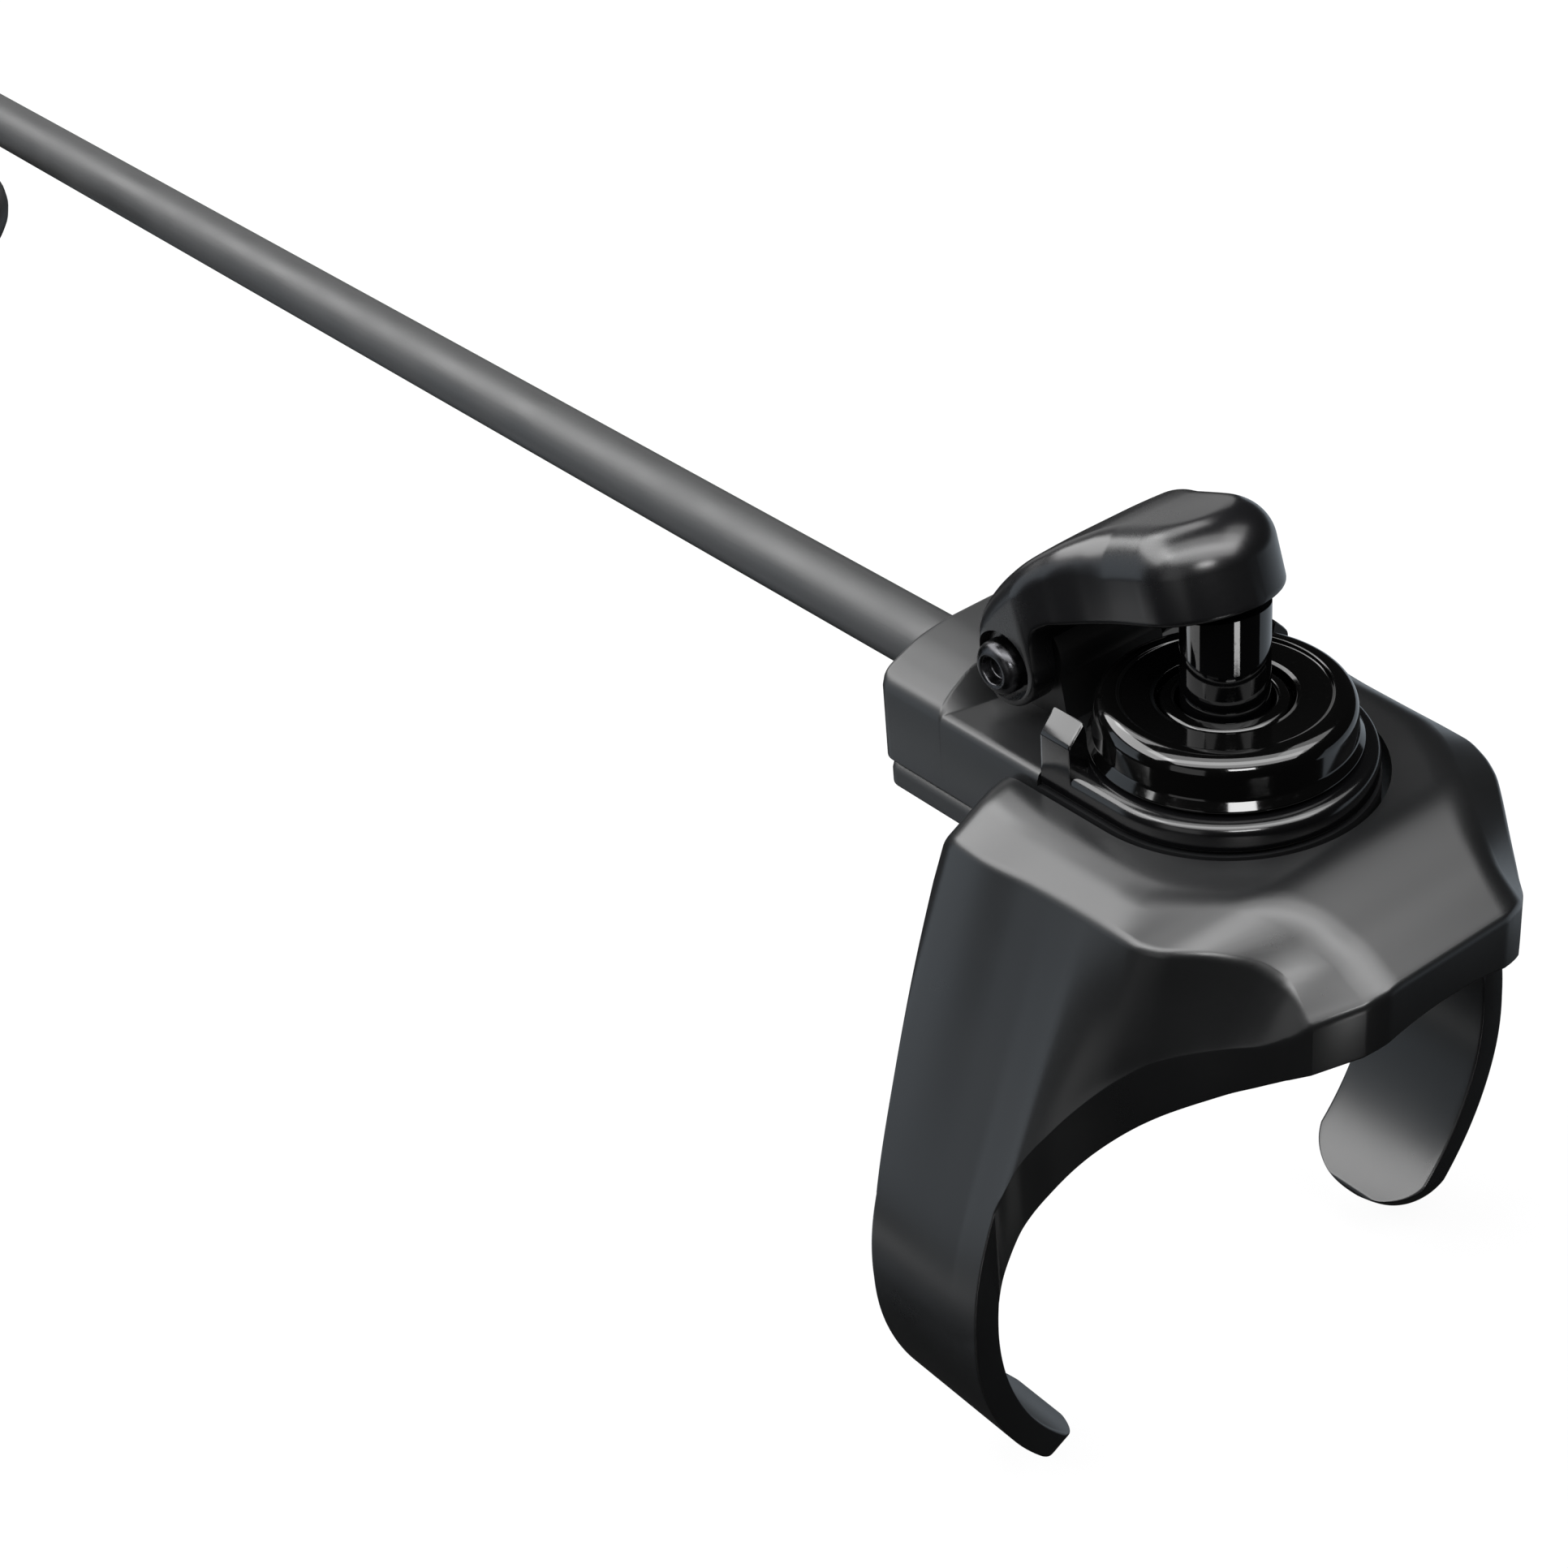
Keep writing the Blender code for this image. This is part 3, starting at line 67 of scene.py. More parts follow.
# Half widths (x, y) of the deck and of the shoulder below it, as they differ on the two sides
DECK_EDGE = {
    "near": [(-5.0, 5.3), (-4.55, 6.0), (-3.4, 6.35), (-1.9, 6.55), (0.2, 6.63), (2.1, 6.58), (3.1, 6.38),
             (3.9, 5.9), (4.6, 5.32), (5.4, 4.6), (6.4, 3.82), (7.4, 3.28), (8.5, 3.0), (9.65, 2.9)],
    "far": [(-5.0, 5.3), (-4.55, 6.0), (-3.4, 6.35), (-1.9, 6.55), (0.2, 6.6), (2.1, 6.5), (3.1, 6.1),
            (4.2, 5.44), (5.3, 4.66), (6.4, 4.05), (7.8, 3.56), (9.65, 3.2)],
}
SHOULDER_EDGE = {
    "near": [(-5.0, 7.8), (-4.3, 8.08), (-3.1, 8.14), (-0.9, 7.95), (1.5, 7.84), (3.67, 7.8), (4.6, 7.5),
             (5.3, 6.9), (6.1, 6.05), (6.85, 5.22), (7.5, 4.85), (8.35, 4.95), (9.0, 5.2), (9.65, 5.3)],
    "far": [(-5.0, 7.8), (-4.3, 8.08), (-3.1, 8.14), (-0.9, 7.95), (1.5, 7.84), (3.4, 7.8), (4.4, 7.5),
            (5.3, 7.0), (6.1, 6.4), (6.9, 5.8), (7.6, 5.35), (8.35, 4.98), (9.0, 5.1), (9.65, 5.3)],
}
# Height of the deck, fall from it to the shoulder's edge, and angle of the arm's foot, each by x
DECK_TOP = [(-5.0, 15.8), (-4.55, 16.1), (-4.0, 16.2), (5.3, 16.18), (7.8, 15.05), (9.65, 13.75)]
SHOULDER_DROP = [(-5.0, 1.2), (-3.1, 1.08), (5.0, 1.05), (6.6, 1.14), (7.3, 1.32), (8.35, 1.8), (9.65, 1.9)]
FOOT_ANGLE = [(0.3, 13.0), (1.53, 18.0), (2.03, 27.0), (2.73, 35.0), (3.53, 42.5), (4.73, 50.5),
              (6.35, 58.0), (8.1, 65.5), (9.65, 72.0)]
# Half width (x, y) of the clip's plan in front of the arms
RIM = [(1.53, 11.93), (1.60, 11.80), (1.75, 11.60), (2.05, 11.20), (2.70, 10.40), (3.50, 9.45), (4.75, 8.15),
       (6.35, 6.75), (8.10, 5.16), (8.60, 4.68), (9.00, 4.20), (9.30, 3.65), (9.50, 3.10), (9.62, 2.60)]

# Switch block and button
BLOCK_BOTTOM_Z = 13.5
BLOCK_SEAT_Z = 16.6
BLOCK_HALF_WIDTH = 5.0
BLOCK_BACK_X = -11.6
LUG_HALF_WIDTH = 2.3
COVER_SCREW_X = -9.0
COVER_SCREW_Y = 3.8
NOSE_TOP_Z = 17.2
NOSE_RADIUS = 4.95
BOOT_RADIUS = 4.45
BOOT_TOP_Z = 19.1
BOOT_HOLE_RADIUS = 2.25
PLUNGER_RADIUS = 1.45
PLUNGER_GAP = 0.25

# Lever: its pivot, its slope at rest and its press; x is measured from the pivot along the arm
PIVOT_X = -6.6
PIVOT_Z = 18.7
PIN_BORE_RADIUS = 0.85
LEVER_PITCH = math.radians(18.0)
LEVER_PRESS = math.radians(7.0)
LEVER_HUB_RADIUS = 1.5
LEVER_CAP_X = 6.5
LEVER_CAP_RADIUS = 2.6
LEVER_UNDER = 1.46
LEVER_EDGE = 0.9
LEVER_CAP_EDGE = 1.5
LEVER_DOME = 0.12
LEVER_TOP = [(-1.5, 0.4), (-1.3, 1.1), (-0.77, 1.95), (0.03, 2.62), (1.0, 3.2), (2.06, 3.7), (3.4, 4.15),
             (4.5, 4.38), (5.5, 4.46), (6.5, 4.48), (9.2, 4.48)]
LEVER_HALF_WIDTH = [(-1.5, 3.35), (-0.6, 3.6), (1.3, 3.6), (2.8, 3.22), (4.2, 2.84), (5.3, 2.66), (6.5, 2.6)]

# Cable: the coil stands 2 mm farther out than its solid, so that it leaves the photo's view
CABLE_RADIUS = 1.25
CABLE_Z = 14.5
COIL_X = -98.0
COIL_RADIUS = 13.0
COIL_TURNS = 2
TURN_PITCH = 2.65
TAIL_Z = CABLE_Z - COIL_TURNS * TURN_PITCH
TAIL_END_X = -105.5
RUN_STEPS = 18
TAIL_STEPS = 3
TIE_HALF_WIDTH = 1.5
TIE_WALL = 0.6
PLUG_START_X = TAIL_END_X - 0.3

# Lamps: the point they face, how far they stand from it, in metres, and where the camera stands
LAMP_AIM = np.array([0.0, 0.0, 0.017])
LAMP_DISTANCE = 0.35
CAMERA_TURN = math.atan2(-0.479, 0.675)
PLAIN_WHITE = (1.0, 1.0, 1.0)
COOL_WHITE = (0.80, 0.90, 1.0)


# Camera

bpy.context.scene.view_settings.view_transform = "Standard"
camera_data = bpy.data.cameras.new("camera")
camera_data.lens = 68.27
camera_data.sensor_width = 36.0
camera_data.clip_start = 0.002
camera = bpy.data.objects.new("camera", camera_data)
camera.location = (0.056375, -0.057467, 0.070722)
camera.rotation_euler = [math.radians(angle) for angle in (55.789, 4.592, 51.532)]
bpy.context.scene.collection.objects.link(camera)
bpy.context.scene.camera = camera


# Shader maths and finishes

class Socket:
    """One output of a shader node; each sum or product with it adds a Math node."""

    def __init__(self, finish, socket):
        self.finish = finish
        self.socket = socket

    def _math(self, operation, first, second):
        return self.finish.node("ShaderNodeMath", {"operation": operation}, {0: first, 1: second})

    def __add__(self, other):
        return self._math("ADD", self, other)

    def __mul__(self, other):
        return self._math("MULTIPLY", self, other)

    __radd__ = __add__
    __rmul__ = __mul__


class Finish:
    """A material under construction, with its own Principled shader."""

    def __init__(self, name, tint, roughness, **constants):
        self.material = bpy.data.materials.new(name)
        self.material.use_nodes = True
        self.tree = self.material.node_tree
        self.shader = self.tree.nodes["Principled BSDF"]
        self.place = Socket(self, self.tree.nodes.new("ShaderNodeTexCoord").outputs["Object"])
        self.set("Base Color", (*tint, 1.0))
        self.set("Roughness", roughness)
        for socket, value in constants.items():
            self.set(socket.replace("_", " "), value)

    def set(self, socket, value, node=None):
        """Give a socket a value, or link it where the value is a Socket."""
        target = (node or self.shader).inputs[socket]
        if isinstance(value, Socket):
            self.tree.links.new(value.socket, target)
        else:
            target.default_value = value

    def node(self, kind, settings, sockets, output=0):
        """Add one node: its settings first, then the values or links of its sockets."""
        node = self.tree.nodes.new(kind)
        for name, value in settings.items():
            setattr(node, name, value)
        for name, value in sockets.items():
            self.set(name, value, node)
        return Socket(self, node.outputs[output])

    def noise(self, grain, detail=2.0, place=None):
        """Noise whose spots are about grain millimetres across."""
        sockets = {"Vector": place or self.place, "Scale": 0.5 / (grain * MM), "Detail": detail}
        return self.node("ShaderNodeTexNoise", {}, sockets)

    def ramp(self, factor, low, high, start=0.0, end=1.0):
        """Change evenly from low to high while factor goes from start to end."""
        sockets = {"Value": factor, "From Min": start, "From Max": end, "To Min": low, "To Max": high}
        return self.node("ShaderNodeMapRange", {}, sockets)

    def mix(self, factor, first, second):
        """Blend two colours by a factor."""
        settings = {"data_type": "RGBA"}
        sockets = {"Factor": factor, 6: first, 7: second}
        return self.node("ShaderNodeMix", settings, sockets, 2)

    def bump(self, height, depth):
        """Raise the surface by up to depth millimetres where height is 1."""
        sockets = {"Height": height, "Distance": depth * MM, "Strength": 1.0}
        self.set("Normal", self.node("ShaderNodeBump", {}, sockets))


def rgba(colour, share):
    """A tint made darker or lighter by a share, as a shader colour."""
    return (*(share * part for part in colour), 1.0)


def moulded_plastic(name, tint, roughness, depth=0.004):
    """Polymer from a spark-eroded mould: faint even grain and slow drifts of gloss."""
    finish = Finish(name, tint, roughness)
    fine = finish.noise(0.09, 3.0)
    drift = finish.noise(2.6)
    finish.set("Base Color", finish.mix(drift, rgba(tint, 0.86), rgba(tint, 1.16)))
    finish.set("Roughness", finish.ramp(drift, roughness - 0.035, roughness + 0.035, 0.3, 0.7)
               + finish.ramp(fine, -0.008, 0.008, 0.3, 0.7))
    finish.bump(fine * 0.25 + drift * 0.6, depth)
    return finish.material


def polished_rubber(name, tint, roughness):
    """Glossy moulded surface that flows a little, with faint dull specks."""
    finish = Finish(name, tint, roughness)
    flow = finish.noise(1.7, 1.0)
    speck = finish.noise(0.12, 3.0)
    finish.set("Roughness", finish.ramp(speck, roughness, roughness + 0.10, 0.58, 0.85))
    finish.set("Base Color", finish.mix(flow, rgba(tint, 0.8), rgba(tint, 1.25)))
    finish.bump(flow * 4.0 + speck * 0.25, 0.0012)
    return finish.material


def turned_metal(name, tint, roughness):
    """Machined metal with fine worn patches."""
    finish = Finish(name, tint, roughness, Metallic=1.0)
    worn = finish.noise(0.25, 4.0)
    patches = finish.ramp(worn, 0.0, 1.0, 0.35, 0.7)
    finish.set("Base Color", finish.mix(patches, rgba(tint, 0.75), rgba(tint, 1.2)))
    finish.set("Roughness", finish.ramp(worn, roughness - 0.06, roughness + 0.1, 0.3, 0.7))
    finish.bump(finish.noise(0.06, 2.0), 0.003)
    return finish.material


def extruded_jacket(name, tint, roughness):
    """Cable jacket: long faint draw lines, matt bloom and small scuffs."""
    finish = Finish(name, tint, roughness)
    lengthways = finish.node("ShaderNodeMapping", {}, {"Vector": finish.place, "Scale": (0.08, 1.0, 1.0)})
    lines = finish.noise(0.16, 3.0, lengthways)
    bloom = finish.noise(1.9, 3.0)
    finish.set("Base Color", finish.mix(bloom, rgba(tint, 0.8), rgba(tint, 1.25)))
    finish.set("Roughness", finish.ramp(bloom, roughness - 0.06, roughness + 0.06, 0.3, 0.7))
    finish.bump(lines + finish.noise(0.09, 2.0) * 0.6, 0.005)
    return finish.material


def woven_laminate(name, tint, roughness):
    """Green solder mask over paler fibre, in a fine square weave."""
    finish = Finish(name, tint, roughness)
    weave = finish.node("ShaderNodeTexBrick", {"offset": 0.0}, {
        "Vector": finish.place, "Scale": 900.0, "Mortar Size": 0.06,
        "Color1": (0.018, 0.085, 0.036, 1.0), "Color2": (0.024, 0.1, 0.045, 1.0),
        "Mortar": (0.06, 0.16, 0.08, 1.0)})
    finish.set("Base Color", weave)
    finish.bump(finish.noise(0.3, 2.0), 0.01)
    return finish.material


recipes = {
    moulded_plastic: {
        "clip_plastic": ((0.0062, 0.0065, 0.0070), 0.31, 0.0016),
        "housing_plastic": ((0.0062, 0.0065, 0.0070), 0.38, 0.0016),
        "cover_plastic": ((0.0042, 0.0044, 0.0047), 0.46),
        "lever_plastic": ((0.0045, 0.0046, 0.0052), 0.25, 0.0004),
        "nose_plastic": ((0.0025, 0.0025, 0.0028), 0.17, 0.0008),
        "tie_nylon": ((0.012, 0.012, 0.012), 0.45),
        "plug_plastic": ((0.013, 0.013, 0.014), 0.42),
        "plug_rubber": ((0.25, 0.05, 0.03), 0.5, 0.002),
        "switch_nylon": ((0.015, 0.015, 0.016), 0.5),
        "stem_nylon": ((0.5, 0.08, 0.05), 0.5),
    },
    polished_rubber: {
        "boot_rubber": ((0.0012, 0.0012, 0.0012), 0.08),
        "seal_rubber": ((0.001, 0.001, 0.001), 0.12),
        "plunger_plastic": ((0.0012, 0.0012, 0.0014), 0.05),
    },
    turned_metal: {
        "screw_steel": ((0.045, 0.045, 0.048), 0.26),
        "cover_screw_steel": ((0.12, 0.12, 0.125), 0.35),
        "contact_gold": ((0.75, 0.52, 0.2), 0.25),
        "frame_steel": ((0.5, 0.5, 0.52), 0.3),
        "dome_steel": ((0.6, 0.58, 0.55), 0.25),
        "ferrule_brass": ((0.5, 0.37, 0.17), 0.32),
    },
    extruded_jacket: {
        "cable_jacket": ((0.022, 0.0225, 0.023), 0.5),
        "wire_red": ((0.35, 0.03, 0.02), 0.45),
        "wire_white": ((0.6, 0.6, 0.58), 0.45),
    },
    woven_laminate: {"board_laminate": ((0.02, 0.09, 0.04), 0.42)},
}
finishes = {name: recipe(name, *values) for recipe, table in recipes.items() for name, values in table.items()}


# Curves and surfaces

def smooth_keys(keys, at):
    """A cubic through (x, y) keys whose slope is the harmonic mean of its neighbours' slopes."""
    xs, ys = np.array(keys, float).T
    widths = np.diff(xs)
    slopes = np.diff(ys) / widths
    product = slopes[:-1] * slopes[1:]
    total = np.where(product > 0.0, slopes[:-1] + slopes[1:], 1.0)
    inner = np.where(product > 0.0, 2.0 * product / total, 0.0)
    tangents = np.concatenate(([slopes[0]], inner, [slopes[-1]]))
    i = np.clip(np.searchsorted(xs, at) - 1, 0, len(slopes) - 1)
    t = np.clip((at - xs[i]) / widths[i], 0.0, 1.0)
    start = ys[i] * (1 + 2 * t) * (1 - t) ** 2 + widths[i] * tangents[i] * t * (1 - t) ** 2
    end = ys[i + 1] * t * t * (3 - 2 * t) + widths[i] * tangents[i + 1] * t * t * (t - 1)
    return start + end


def arc(centre, radius, start, end, count):
    """Points on a circle in a plane, from one angle to another in degrees."""
    turn = np.radians(np.linspace(start, end, count))
    return np.stack([centre[0] + radius * np.cos(turn), centre[1] + radius * np.sin(turn)], -1)


def softened(points, reach, steps=7, closed=True):
    """Replace corners by a parabola that starts and ends reach before and after the corner.

    points is (..., corners, 2 or 3); reach is one length or one for each corner, 0 to keep it
    as it is, and is cut to 0.48 of a side.
    """
    points = np.asarray(points, float)
    count = points.shape[-2]
    before = np.roll(points, 1, -2) - points
    after = np.roll(points, -1, -2) - points
    lengths = [np.maximum(np.linalg.norm(way, axis=-1, keepdims=True), 1e-9) for way in (before, after)]
    reach = np.broadcast_to(np.asarray(reach, float), (count,))
    starts, ends = (points + way * np.minimum(reach[:, None] / length, 0.48)
                    for way, length in zip((before, after), lengths))
    t = np.linspace(0.0, 1.0, steps)[:, None]
    columns = []
    for k in range(count):
        corner = points[..., k:k + 1, :]
        if reach[k] <= 0.0 or (not closed and k in (0, count - 1)):
            columns.append(corner)
            continue
        columns.append((1 - t) ** 2 * starts[..., k:k + 1, :] + 2 * t * (1 - t) * corner
                       + t ** 2 * ends[..., k:k + 1, :])
    return np.concatenate(columns, -2)


def rounded_profile(corners, steps, closed=True):
    """A profile from (radius, height, reach) corners, each rounded over its own reach."""
    table = np.array(corners, float)
    return softened(table[:, :2], table[:, 2], steps, closed)


def fillet(distance, radius):
    """How far a rounded edge lies below its faces at a distance from its end."""
    rest = np.maximum(radius - distance, 0.0)
    return radius - np.sqrt(np.maximum(radius ** 2 - rest ** 2, 0.0))


def link(name, vertices, faces, sharp=None):
    """Merge doubles, turn the faces outward and link the mesh, still in millimetres."""
    mesh = bpy.data.meshes.new(name)
    mesh.from_pydata(vertices.reshape(-1, 3).tolist(), [], faces)
    bm = bmesh.new()
    bm.from_mesh(mesh)
    bmesh.ops.remove_doubles(bm, verts=bm.verts, dist=1e-5)
    bmesh.ops.dissolve_degenerate(bm, edges=bm.edges, dist=1e-6)
    bmesh.ops.recalc_face_normals(bm, faces=bm.faces)
    bm.to_mesh(mesh)
    bm.free()
    mesh.shade_smooth()
    if sharp is not None:
        mesh.set_sharp_from_angle(angle=math.radians(sharp))
    obj = bpy.data.objects.new(name, mesh)
    bpy.context.scene.collection.objects.link(obj)
    return obj


def grid_faces(rows, columns, wrap_rows=False):
    """Quads of a grid whose rows close on themselves."""
    i, j = np.meshgrid(np.arange(rows if wrap_rows else rows - 1), np.arange(columns), indexing="ij")
    near = i * columns
    far = (i + 1) % rows * columns
    right = (j + 1) % columns
    return np.stack([near + j, near + right, far + right, far + j], -1).reshape(-1, 4).tolist()


def loft(name, rings):
    """Skin over closed rings (rings, points, 3), with flat ends."""
    rows, columns = rings.shape[:2]
    caps = [list(range(columns)), list(range((rows - 1) * columns, rows * columns))]
    return link(name, rings, grid_faces(rows, columns) + caps)


AXES = {"X": (2, 0, 1), "Y": (0, 2, 1), "Z": (0, 1, 2)}


def along(axis, flat, level):
    """Flat points at a level along an axis: (y, z) for X, (x, z) for Y and (x, y) for Z."""
    flat = np.asarray(flat, float)
    level = np.broadcast_to(np.asarray(level, float), flat.shape[:-1])
    return np.concatenate((flat, level[..., None]), -1)[..., AXES[axis]]


def box(left, right, low, high):
    """Outline of an upright rectangle."""
    return [(left, low), (right, low), (right, high), (left, high)]


def prism(name, outline, axis, low, high):
    """Extrude a flat outline between two levels along an axis."""
    return loft(name, np.stack([along(axis, outline, level) for level in (low, high)]))


def rod(radius, low, high):
    """Profile of a plain round rod, as a cutter for a bore."""
    return [(0, low), (radius, low), (radius, high), (0, high)]


def turned(name, profile, centre=(0.0, 0.0, 0.0), axis="Z", steps=96, sharp=None):
    """Spin a closed (radius, height) profile about an axis."""
    profile = np.asarray(profile, float)
    turn = 2.0 * np.pi * np.arange(steps) / steps
    flat = profile[:, None, :1] * np.stack([np.cos(turn), np.sin(turn)], -1)
    rings = along(axis, flat, profile[:, 1:]) + np.array(centre)
    return link(name, rings, grid_faces(len(profile), steps, wrap_rows=True), sharp)


def worked(obj, *cutters, joined=()):
    """Join pieces to a solid, then cut it with others, in their order; all of them are used up."""
    for operation, tools in (("UNION", joined), ("DIFFERENCE", cutters)):
        for tool in tools:
            modifier = obj.modifiers.new("cut", "BOOLEAN")
            modifier.operation = operation
            modifier.object = tool
            modifier.solver = "EXACT"
            graph = bpy.context.evaluated_depsgraph_get()
            mesh = bpy.data.meshes.new_from_object(obj.evaluated_get(graph))
            obj.modifiers.clear()
            obj.data = mesh
            bpy.data.objects.remove(tool, do_unlink=True)


def dress(obj, finish, body, node, place=None, sharp=None):
    """Bring a finished piece to metres, give it its finish and let it stand for its node."""
    if place is not None:
        obj.data.transform(place)
    obj.data.transform(Matrix.Scale(MM, 4))
    obj.data.materials.clear()
    obj.data.materials.append(finishes[finish])
    if sharp is not None:
        obj.data.shade_smooth()
        obj.data.set_sharp_from_angle(angle=math.radians(sharp))
    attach(obj, body)
    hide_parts(node)
    return obj


# Cable

def cable_route():
    """Straight run, two level-wound turns about a point beside it, and a short straight tail.

    Returns the points in millimetres and the way the cable runs at each one.
    """
    run_x = np.linspace(BLOCK_BACK_X + 2.7, COIL_X, RUN_STEPS + 1)
    run = np.stack([run_x, 0 * run_x, 0 * run_x + CABLE_Z], -1)
    turn = np.linspace(0.0, 2.0 * np.pi * COIL_TURNS, 16 * COIL_TURNS + 1)[1:]
    fall = TURN_PITCH / (2.0 * np.pi)
    coil = np.stack([COIL_X - COIL_RADIUS * np.sin(turn), COIL_RADIUS * (np.cos(turn) - 1.0),
                     CABLE_Z - fall * turn], -1)
    coil_way = np.stack([-COIL_RADIUS * np.cos(turn), -COIL_RADIUS * np.sin(turn), 0 * turn - fall], -1)
    tail_x = np.linspace(COIL_X, TAIL_END_X, TAIL_STEPS + 1)[1:]
    tail = np.stack([tail_x, 0 * tail_x, 0 * tail_x + TAIL_Z], -1)
    points = np.concatenate((run, coil, tail))
    ways = np.concatenate((0 * run - [1, 0, 0], coil_way, 0 * tail - [1, 0, 0]))
    return points, ways / np.linalg.norm(ways, axis=1, keepdims=True)


def make_cable():
    """Round curve along the route; returns it with its length in metres."""
    points, ways = cable_route()
    steps = np.linalg.norm(np.diff(points, axis=0), axis=1)
    back = np.concatenate(([steps[0]], steps))[:, None] / 3.0
    ahead = np.concatenate((steps, [steps[-1]]))[:, None] / 3.0
    curve = bpy.data.curves.new("cable_cord", "CURVE")
    curve.dimensions = "3D"
    curve.bevel_depth = CABLE_RADIUS * MM
    curve.bevel_resolution = 8
    curve.resolution_u = 8
    curve.use_fill_caps = True
    spline = curve.splines.new("BEZIER")
    spline.bezier_points.add(len(points) - 1)
    spline.bezier_points.foreach_set("co", (points * MM).ravel())
    spline.bezier_points.foreach_set("handle_left", ((points - ways * back) * MM).ravel())
    spline.bezier_points.foreach_set("handle_right", ((points + ways * ahead) * MM).ravel())
    obj = bpy.data.objects.new("cable_cord", curve)
    bpy.context.scene.collection.objects.link(obj)
    curve.materials.append(finishes["cable_jacket"])
    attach(obj, "block_and_clip")
    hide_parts("cable", "cable_coil", "cable_tail")
    coil = COIL_TURNS * math.hypot(2.0 * math.pi * COIL_RADIUS, TURN_PITCH)
    length = float(steps[:RUN_STEPS].sum() + coil + steps[-TAIL_STEPS:].sum())
    return obj, length * MM


cable, cable_length = make_cable()


# Clip

def arm_circle(angle, share):
    """Point of the arm's wall, from its inside at share 0 to its outside at share 1.

    The inner radius is BAR_RADIUS - 0.8 * below ** 2, below being 1 at the arm's tip, which
    springs the arm's end against the bar, and the wall ARM_WALL - 0.1 * below.
    """
    below = np.clip(angle / ARM_TIP_ANGLE, 0.0, 1.0)
    radius = BAR_RADIUS - 0.8 * below ** 2.0 + (ARM_WALL - 0.1 * below) * share
    turn = np.radians(angle)
    return np.stack([radius * np.cos(turn), radius * np.sin(turn)], -1)


def clip_outside(x, along_arm, side):
    """Outside of one half of the clip's section at every place x, as (places, points, 2) of (y, z).

    From the arm's end: the arm's circle, at shares along_arm of the way to its foot, a flat panel
    up to the lower crease, the sloped shoulder band and the deck, with both creases rounded.
    """
    top = smooth_keys(DECK_TOP, x)
    high_y = smooth_keys(DECK_EDGE[side], x)
    low_y = smooth_keys(SHOULDER_EDGE[side], x)
    drop = smooth_keys(SHOULDER_DROP, x)
    foot = smooth_keys(FOOT_ANGLE, x)
    arm = arm_circle(ARM_TIP_ANGLE + (foot[:, None] - ARM_TIP_ANGLE) * along_arm, 1.0)
    low = np.stack([low_y, top - drop], -1)
    high = np.stack([high_y, top], -1)
    middle = np.stack([0.0 * top, top], -1)
    corners = np.stack([arm[:, -1], low, high, middle], 1)
    bends = softened(corners, [0.0, LOWER_CREASE, UPPER_CREASE, 0.0], 13, closed=False)[:, 1:-1]
    share = np.linspace(0.0, 1.0, PANEL_LINES + 1)[1:-1, None]
    panel = arm[:, -1:] * (1 - share) + bends[:, :1] * share
    share = np.linspace(0.0, 1.0, 31)[1:, None]
    deck = bends[:, -1:] * (1 - share) + middle[:, None] * share
    section = np.concatenate((arm, panel, bends, deck), 1)
    return evened(section, arm.shape[1] - 1)


def hanning(size):
    """Bell-shaped weights that add up to 1."""
    bell = np.hanning(size + 2)[1:-1]
    return bell / bell.sum()


def evened(section, joint):
    """Smooth the lines round the joint of arm and panel, most at the joint and less away from it."""
    part = section[:, joint - 60:joint + 50]
    bell = hanning(41)
    even = np.stack([(sliding_window_view(part[..., k], len(bell), 1) * bell).sum(-1) for k in (0, 1)], -1)
    blend = np.minimum(1.0, 2.0 * np.hanning(even.shape[1]))[:, None]
    section[:, joint - 40:joint + 30] = section[:, joint - 40:joint + 30] * (1.0 - blend) + even * blend
    return section


